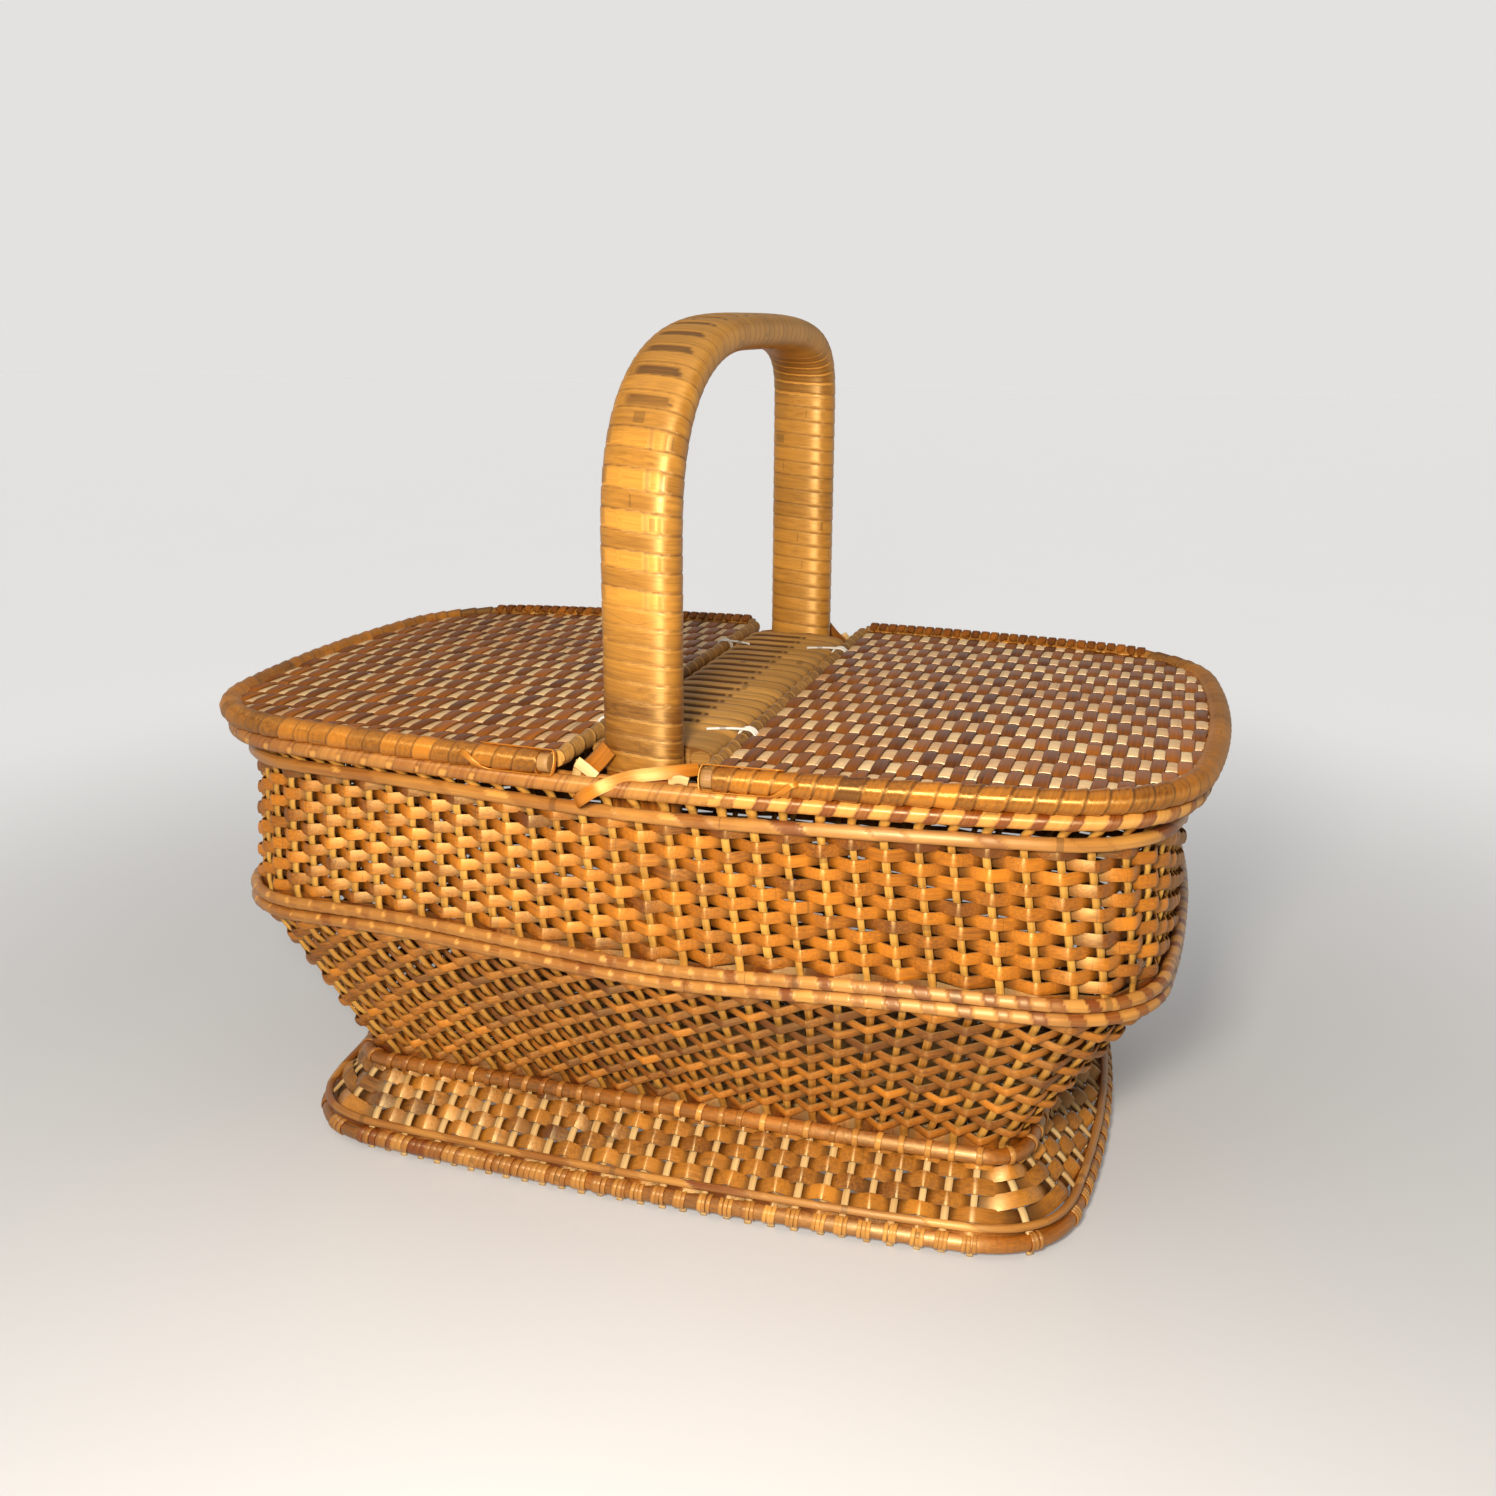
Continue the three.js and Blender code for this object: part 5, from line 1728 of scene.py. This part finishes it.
@dataclass
class Lid:
    """One lid: a wrapped hoop, a wrapped hinge rod and a woven panel."""

    side: Side
    plan: Plan
    overhang: float = 12 * MM
    hoop_radius: float = 3.75 * MM
    wrap_radius: float = 4.6 * MM
    strips: int = 35
    rows: int = 16
    brown_width: float = 5.5 * MM
    straw_width: float = 12.6 * MM
    panel_relief: float = 0.8 * MM

    def __post_init__(self) -> None:
        """Measures the lid from the frame."""
        label = self.side.name.lower()
        self.label = label
        self.body = f"lid_{label}"
        self.hinge = middle(f"hinge_rod_{label}")
        self.z = self.hinge.z
        self.hinge_x = abs(self.hinge.x)
        low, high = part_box(f"lid_panel_{label}")
        self.panel_z = high.z - 1.25 * MM
        self.panel_start = min(abs(low.x), abs(high.x))
        self.brown_pitch = (max(abs(low.x), abs(high.x)) - self.panel_start) / self.strips
        self.straw_pitch = (high.y - low.y) / self.rows
        self.loop = self.plan.loop().grown(self.overhang)
        shares = np.linspace(0, 0.2, 2000)
        self.first = float(np.interp(self.hinge_x, self.loop.at(shares)[:, 0], shares))

    def flip(self, points: Points) -> Points:
        """Points of the right lid, moved to this lid's side."""
        return points * np.array([self.side.value, 1.0, 1.0])

    def line(self) -> Rod:
        """The hoop's line from the front of the hinge around to its back."""
        rod = Rod.around(self.loop, self.z, lambda share: 0 * share, self.first, 0.5 - self.first, 900)
        return Rod(self.flip(rod.points), self.flip(rod.out), rod.up)

    def hoop(self) -> None:
        """Makes the hoop and its wrap, with bare cut ends."""
        rod = self.line()
        core = StrandMesh(f"lid_hoop_{self.label}")
        core_rod(core, rod, self.hoop_radius, 0)
        dress(core.build([STRAW]), self.body, "amber_cane", f"lid_hoop_{self.label}")
        mesh = StrandMesh(f"lid_hoop_wrap_{self.label}")
        inside = (rod.run > 4 * MM) & (rod.run < rod.length - 4 * MM)
        wound = Rod(rod.points[inside], rod.out[inside], rod.up[inside])
        winding = Winding(8.6 * MM, tone=0.5, spread=0.2, step=0.7 * MM, seam=0.6, edge=0.3, uneven=0.12)
        bar = WoundBar(self.wrap_radius, self.wrap_radius, 2.0, 22)
        bar.cover(mesh, wound, winding.pattern(601 + self.side.value))
        self.end_fold(mesh, rod)
        dress(mesh.build([LID_HOOP]), self.body, "amber_cane", f"lid_hoop_wrap_{self.label}")

    def end_fold(self, mesh: StrandMesh, rod: Rod) -> None:
        """Folds a narrow strip lengthwise around the hoop's front end, under its last wraps.

        Args:
            mesh: the wrap's mesh.
            rod: the hoop's line.
        """
        lean = 1.9
        reach = self.wrap_radius + 0.3 * MM
        fold = np.linspace(0, math.pi, 12)
        back = np.linspace(1, 36, 14)
        along = np.concatenate([np.linspace(30, 1, 10), np.zeros(12), back]) * MM
        twist = np.concatenate([np.zeros(22), 1.7 * ramp(back, 24, 36)])
        side = np.concatenate([np.ones(10), np.cos(fold), -np.ones(14)])
        past = np.concatenate([np.zeros(10), np.sin(fold), np.zeros(14)])
        points, out, up = rod.at(along)
        ahead = unit(rod.points[:1] - rod.points[5:6])
        across = out * np.cos(lean + twist)[:, None] + up * np.sin(lean + twist)[:, None]
        path = points + across * (reach * side)[:, None] + ahead * (1.4 * MM * past)[:, None]
        face = unit(across * side[:, None] + ahead * past[:, None])
        mesh.strand(path, face, 2.6 * MM, 0.6 * MM, tone=0.85)

    def hinge_rod(self) -> None:
        """Makes the hinge rod, wound with an olive strip that has a pale raised edge."""
        low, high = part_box(f"hinge_rod_{self.label}")
        y = np.linspace(low.y, high.y, 400)
        points = np.column_stack([np.full(400, self.hinge.x), y, np.full(400, self.z)])
        rod = Rod(points, np.tile([1.0, 0.0, 0.0], (400, 1)), np.tile([0.0, 0.0, 1.0], (400, 1)))
        mesh = StrandMesh(f"hinge_rod_{self.label}")
        winding = Winding(
            10.4 * MM, tone=0.45, spread=0.16, step=1.0 * MM, seam=0.6, edge=0.85, edge_from=0.78,
        )
        WoundBar(3.2 * MM, 3.2 * MM, 2.0, 18).cover(mesh, rod, winding.pattern(611 + self.side.value))
        dress(mesh.build([OLIVE]), self.body, "olive_cane", f"hinge_rod_{self.label}")

    def panel(self) -> None:
        """Weaves brown strips across the lid over and under wide straw strips along it."""
        rng = np.random.default_rng(621 + self.side.value)
        mesh = StrandMesh(f"lid_panel_{self.label}")
        inner = self.loop.grown(-self.hoop_radius * 0.6)
        left = self.hinge_x + 1.5 * MM
        row_ys = (np.arange(self.rows) - (self.rows - 1) / 2) * self.straw_pitch
        column_xs = self.panel_start + (np.arange(self.strips) + 0.5) * self.brown_pitch
        up = np.array([[0.0, 0.0, 1.0]])
        for row, y in enumerate(row_ys):
            reach = float(inner.half_length(y))
            x = np.arange(left, reach, self.brown_pitch / 5)
            phase = math.pi * ((x - column_xs[0]) / self.brown_pitch + row)
            height = self.panel_z - 0.28 * MM * crest(phase, 0.8)
            tone = np.clip(rng.normal(0.6, 0.17) + 0.1 * np.sin(x * 60 + row), 0, 1)
            path = self.flip(np.column_stack([x, np.full_like(x, y + rng.normal(0, 0.4 * MM)), height]))
            width = self.straw_width * rng.normal(1, 0.04)
            # Tuck paints a little shade on the straw rows.
            mesh.strand(path, np.repeat(up, len(x), axis=0), width, 0.7 * MM, tone=tone, tuck=0.1, finish=1)
        for column, x in enumerate(column_xs):
            reach = float(inner.half_depth(x))
            y = np.linspace(-reach, reach, int(2 * reach / self.straw_pitch * 9))
            phase = math.pi * ((y - row_ys[0]) / self.straw_pitch + column)
            wave = plateau(phase, 1.7)
            edge = np.clip((reach - np.abs(y)) / (7 * MM), 0, 1)
            height = self.panel_z + 0.15 * MM + self.panel_relief * wave * edge
            tone = np.clip(rng.normal(0.5, 0.2), 0, 1)
            shaky = np.interp(y, np.linspace(-reach, reach, 18), rng.normal(0, 0.25 * MM, 18))
            path = np.column_stack([x + shaky, y, height])
            face = np.repeat(up, len(y), axis=0)
            # Tuck paints shade where the brown strips dip under the straw.
            tuck = np.clip(0.1 - 0.6 * wave, 0, 1)
            wide = np.full(len(y), self.brown_width * rng.normal(1, 0.05))
            hoop_y = self.loop.half_depth(np.array([x, x + 1 * MM]))
            if hoop_y[0] - hoop_y[1] < 0.5 * MM:
                turn = np.linspace(2.5, -0.2, 9)
                over = np.column_stack([np.zeros(9), np.cos(turn), np.sin(turn)])
                centre = np.array([x, hoop_y[0], self.z])
                path = np.vstack([path, centre + over * (self.wrap_radius + 0.7 * MM)])
                face = np.vstack([face, over])
                tuck = np.append(tuck, np.zeros(9))
                wide = np.append(wide, np.full(9, 3.9 * MM))
            mesh.strand(self.flip(path), self.flip(face), wide, 0.8 * MM, tone=tone, tuck=tuck)
        dress(mesh.build([LID_DARK, LID_PALE]), self.body, "dark_cane", f"lid_panel_{self.label}")

    def ties(self) -> None:
        """Ties the hinge rod to the crossbar with white string, at the front and at the back."""
        crossbar_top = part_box("crossbar_wrap")[1].z
        for end in ("front", "back"):
            node = f"tie_{self.label}_{end}"
            low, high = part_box(node)
            y = (low.y + high.y) / 2
            radius = 3.75 * MM
            string = 0.55 * MM
            turns = np.linspace(0, 2 * math.pi * 2.5, 56)
            loops = np.column_stack([
                self.hinge_x + radius * np.sin(turns),
                y + (turns / (2 * math.pi) - 1.25) * 1.7 * MM,
                self.z + radius * np.cos(turns),
            ])
            t = np.linspace(1, 0, 14, endpoint=False)
            over = self.z + radius
            lead = np.column_stack([
                self.hinge_x - t * 15 * MM,
                loops[0, 1] - 5 * MM * t ** 2,
                over + (crossbar_top + 0.2 * MM - over) * t,
            ])
            path = self.flip(np.vstack([lead, loops]))
            mesh = StrandMesh(node)
            face = np.tile([0.0, 1.0, 0.0], (len(path), 1))
            mesh.strand(path, face, 2 * string, 2 * string, tone=0.6, section=Section.ROUND)
            dress(mesh.build([STRING]), "basket", "string", node)

    def build(self) -> None:
        """Makes every piece of the lid."""
        self.hoop()
        self.hinge_rod()
        self.panel()
        self.ties()


@dataclass
class Studio:
    """Pale floor, soft light and the camera at the photograph's angle."""

    image: int = 1496
    focal_pixels: float = 1475.2
    place: tuple[float, float, float] = (0.1923, -0.6173, 0.3532)
    yaw: float = math.radians(16.77)
    pitch: float = math.radians(16.31)
    roll: float = math.radians(0.37)
    floor_size: float = 14.0
    key_size: float = 0.09
    key_power: float = 5.2
    overhead_strength: float = 0.78
    overhead_spread: float = math.radians(70)
    ambient: float = 0.11

    def axes(self) -> tuple[Vector, Vector, Vector]:
        """The camera's right, up and forward directions."""
        forward = Vector((
            -math.sin(self.yaw) * math.cos(self.pitch),
            math.cos(self.yaw) * math.cos(self.pitch),
            -math.sin(self.pitch),
        ))
        right = Vector((math.cos(self.yaw), math.sin(self.yaw), 0.0))
        up = right.cross(forward)
        turned = right * math.cos(self.roll) + up * math.sin(self.roll)
        return turned, turned.cross(forward), forward

    def camera(self) -> None:
        """Makes the camera."""
        right, up, forward = self.axes()
        data = bpy.data.cameras.new("camera")
        data.sensor_width = 36.0
        data.lens = data.sensor_width * self.focal_pixels / self.image
        data.clip_start, data.clip_end = 0.02, 60.0
        camera = bpy.data.objects.new("camera", data)
        camera.matrix_world = Matrix((
            (right.x, up.x, -forward.x, self.place[0]),
            (right.y, up.y, -forward.y, self.place[1]),
            (right.z, up.z, -forward.z, self.place[2]),
            (0.0, 0.0, 0.0, 1.0),
        ))
        bpy.context.scene.collection.objects.link(camera)
        bpy.context.scene.camera = camera

    def lamp(self, name: str, place: Vector, target: Vector, size: float, power: float, tint: int) -> None:
        """Adds a soft square lamp.

        Args:
            name: its name.
            place: where it stands.
            target: where it points.
            size: its width.
            power: its power in watts.
            tint: its display colour.
        """
        data = bpy.data.lights.new(name, "AREA")
        data.size = size
        data.energy = power
        data.color = linear(tint)[:3]
        lamp = bpy.data.objects.new(name, data)
        lamp.location = place
        lamp.rotation_euler = (target - place).to_track_quat("-Z", "Y").to_euler()
        bpy.context.scene.collection.objects.link(lamp)

    def sky(self, name: str, direction: Vector, spread: float, strength: float) -> None:
        """Adds a soft distant lamp that lights everything evenly.

        Args:
            name: its name.
            direction: where its light goes.
            spread: its width as an angle.
            strength: its strength.
        """
        data = bpy.data.lights.new(name, "SUN")
        data.angle = spread
        data.energy = strength
        lamp = bpy.data.objects.new(name, data)
        lamp.rotation_euler = direction.to_track_quat("-Z", "Y").to_euler()
        bpy.context.scene.collection.objects.link(lamp)

    def lights(self) -> None:
        """Sets the lamps and the pale surroundings."""
        right, up, _ = self.axes()
        eye = Vector(self.place)
        target = Vector((0.0, 0.0, 0.13))
        beside = eye - right * 0.075 + up * 0.05
        self.lamp("key", beside, target, self.key_size, self.key_power, 0xFFF8EE)
        self.sky("overhead", Vector((0.15, 0.1, -1.0)), self.overhead_spread, self.overhead_strength)
        world = bpy.data.worlds.new("studio")
        bpy.context.scene.world = world
        world.use_nodes = True
        g = Graph(world.node_tree)
        background = world.node_tree.nodes["Background"]
        direction = g.node("ShaderNodeTexCoord").outputs["Generated"]
        height = g.node("ShaderNodeSeparateXYZ", {0: direction}).outputs["Z"]
        level = g.node("ShaderNodeMapRange", {
            "Value": height, "From Min": 0.22, "From Max": 0.6, "To Min": 0.66, "To Max": 0.1,
        }, interpolation_type="SMOOTHSTEP").outputs["Result"]
        strength = g.math("MULTIPLY_ADD", self.seen(g), level, self.ambient)
        background.inputs["Color"].default_value = PALE_STUDIO
        world.node_tree.links.new(strength, background.inputs["Strength"])

    @staticmethod
    def seen(g: Graph) -> bpy.types.NodeSocket:
        """Whether the camera sees a place, by itself, in a gloss or through a clear piece."""
        path = g.node("ShaderNodeLightPath").outputs
        mirrored = g.math("MAXIMUM", path["Is Glossy Ray"], path["Is Transmission Ray"])
        return g.math("MAXIMUM", path["Is Camera Ray"], mirrored)

    def floor(self) -> None:
        """Lays the pale floor."""
        bpy.ops.object.select_all(action="DESELECT")
        bpy.ops.mesh.primitive_plane_add(size=self.floor_size, location=(0, 0, 0))
        floor = bpy.context.active_object
        floor.name = "studio_floor"
        made = bpy.data.materials.new("pale_floor")
        made.use_nodes = True
        shader = made.node_tree.nodes["Principled BSDF"]
        g = Graph(made.node_tree)
        here = g.node("ShaderNodeTexCoord").outputs["Object"]
        grain = g.node("ShaderNodeTexNoise", {"Vector": here, "Scale": 6.0, "Detail": 4.0}).outputs["Fac"]
        colour = g.mix(grain, (0.53, 0.52, 0.505, 1.0), (0.57, 0.56, 0.545, 1.0))
        away = g.node("ShaderNodeVectorMath", {0: here}, operation="LENGTH").outputs["Value"]
        spread = g.node("ShaderNodeMapRange", {
            "Value": away, "From Min": 0.2, "From Max": 0.9, "To Min": 0.16, "To Max": 0.53,
        }, interpolation_type="SMOOTHSTEP").outputs["Result"]
        made.node_tree.links.new(colour, shader.inputs["Base Color"])
        shader.inputs["Roughness"].default_value = 0.7
        shader.inputs["Emission Color"].default_value = PALE_STUDIO
        glow = g.math("MULTIPLY", self.seen(g), spread)
        made.node_tree.links.new(glow, shader.inputs["Emission Strength"])
        floor.data.materials.append(made)

    def build(self) -> None:
        """Makes the studio."""
        self.camera()
        self.lights()
        self.floor()
        bpy.context.scene.view_settings.view_transform = "Standard"


def main() -> None:
    """Builds the basket piece by piece and the studio around it."""
    logging.basicConfig(level=logging.INFO, format="%(name)s: %(message)s")
    Studio().build()
    basket = Basket()
    basket.build()
    Handle().build()
    Crossbar().build()
    for side in Side:
        Lid(side, basket.rail).build()


if __name__ == "__main__":
    main()
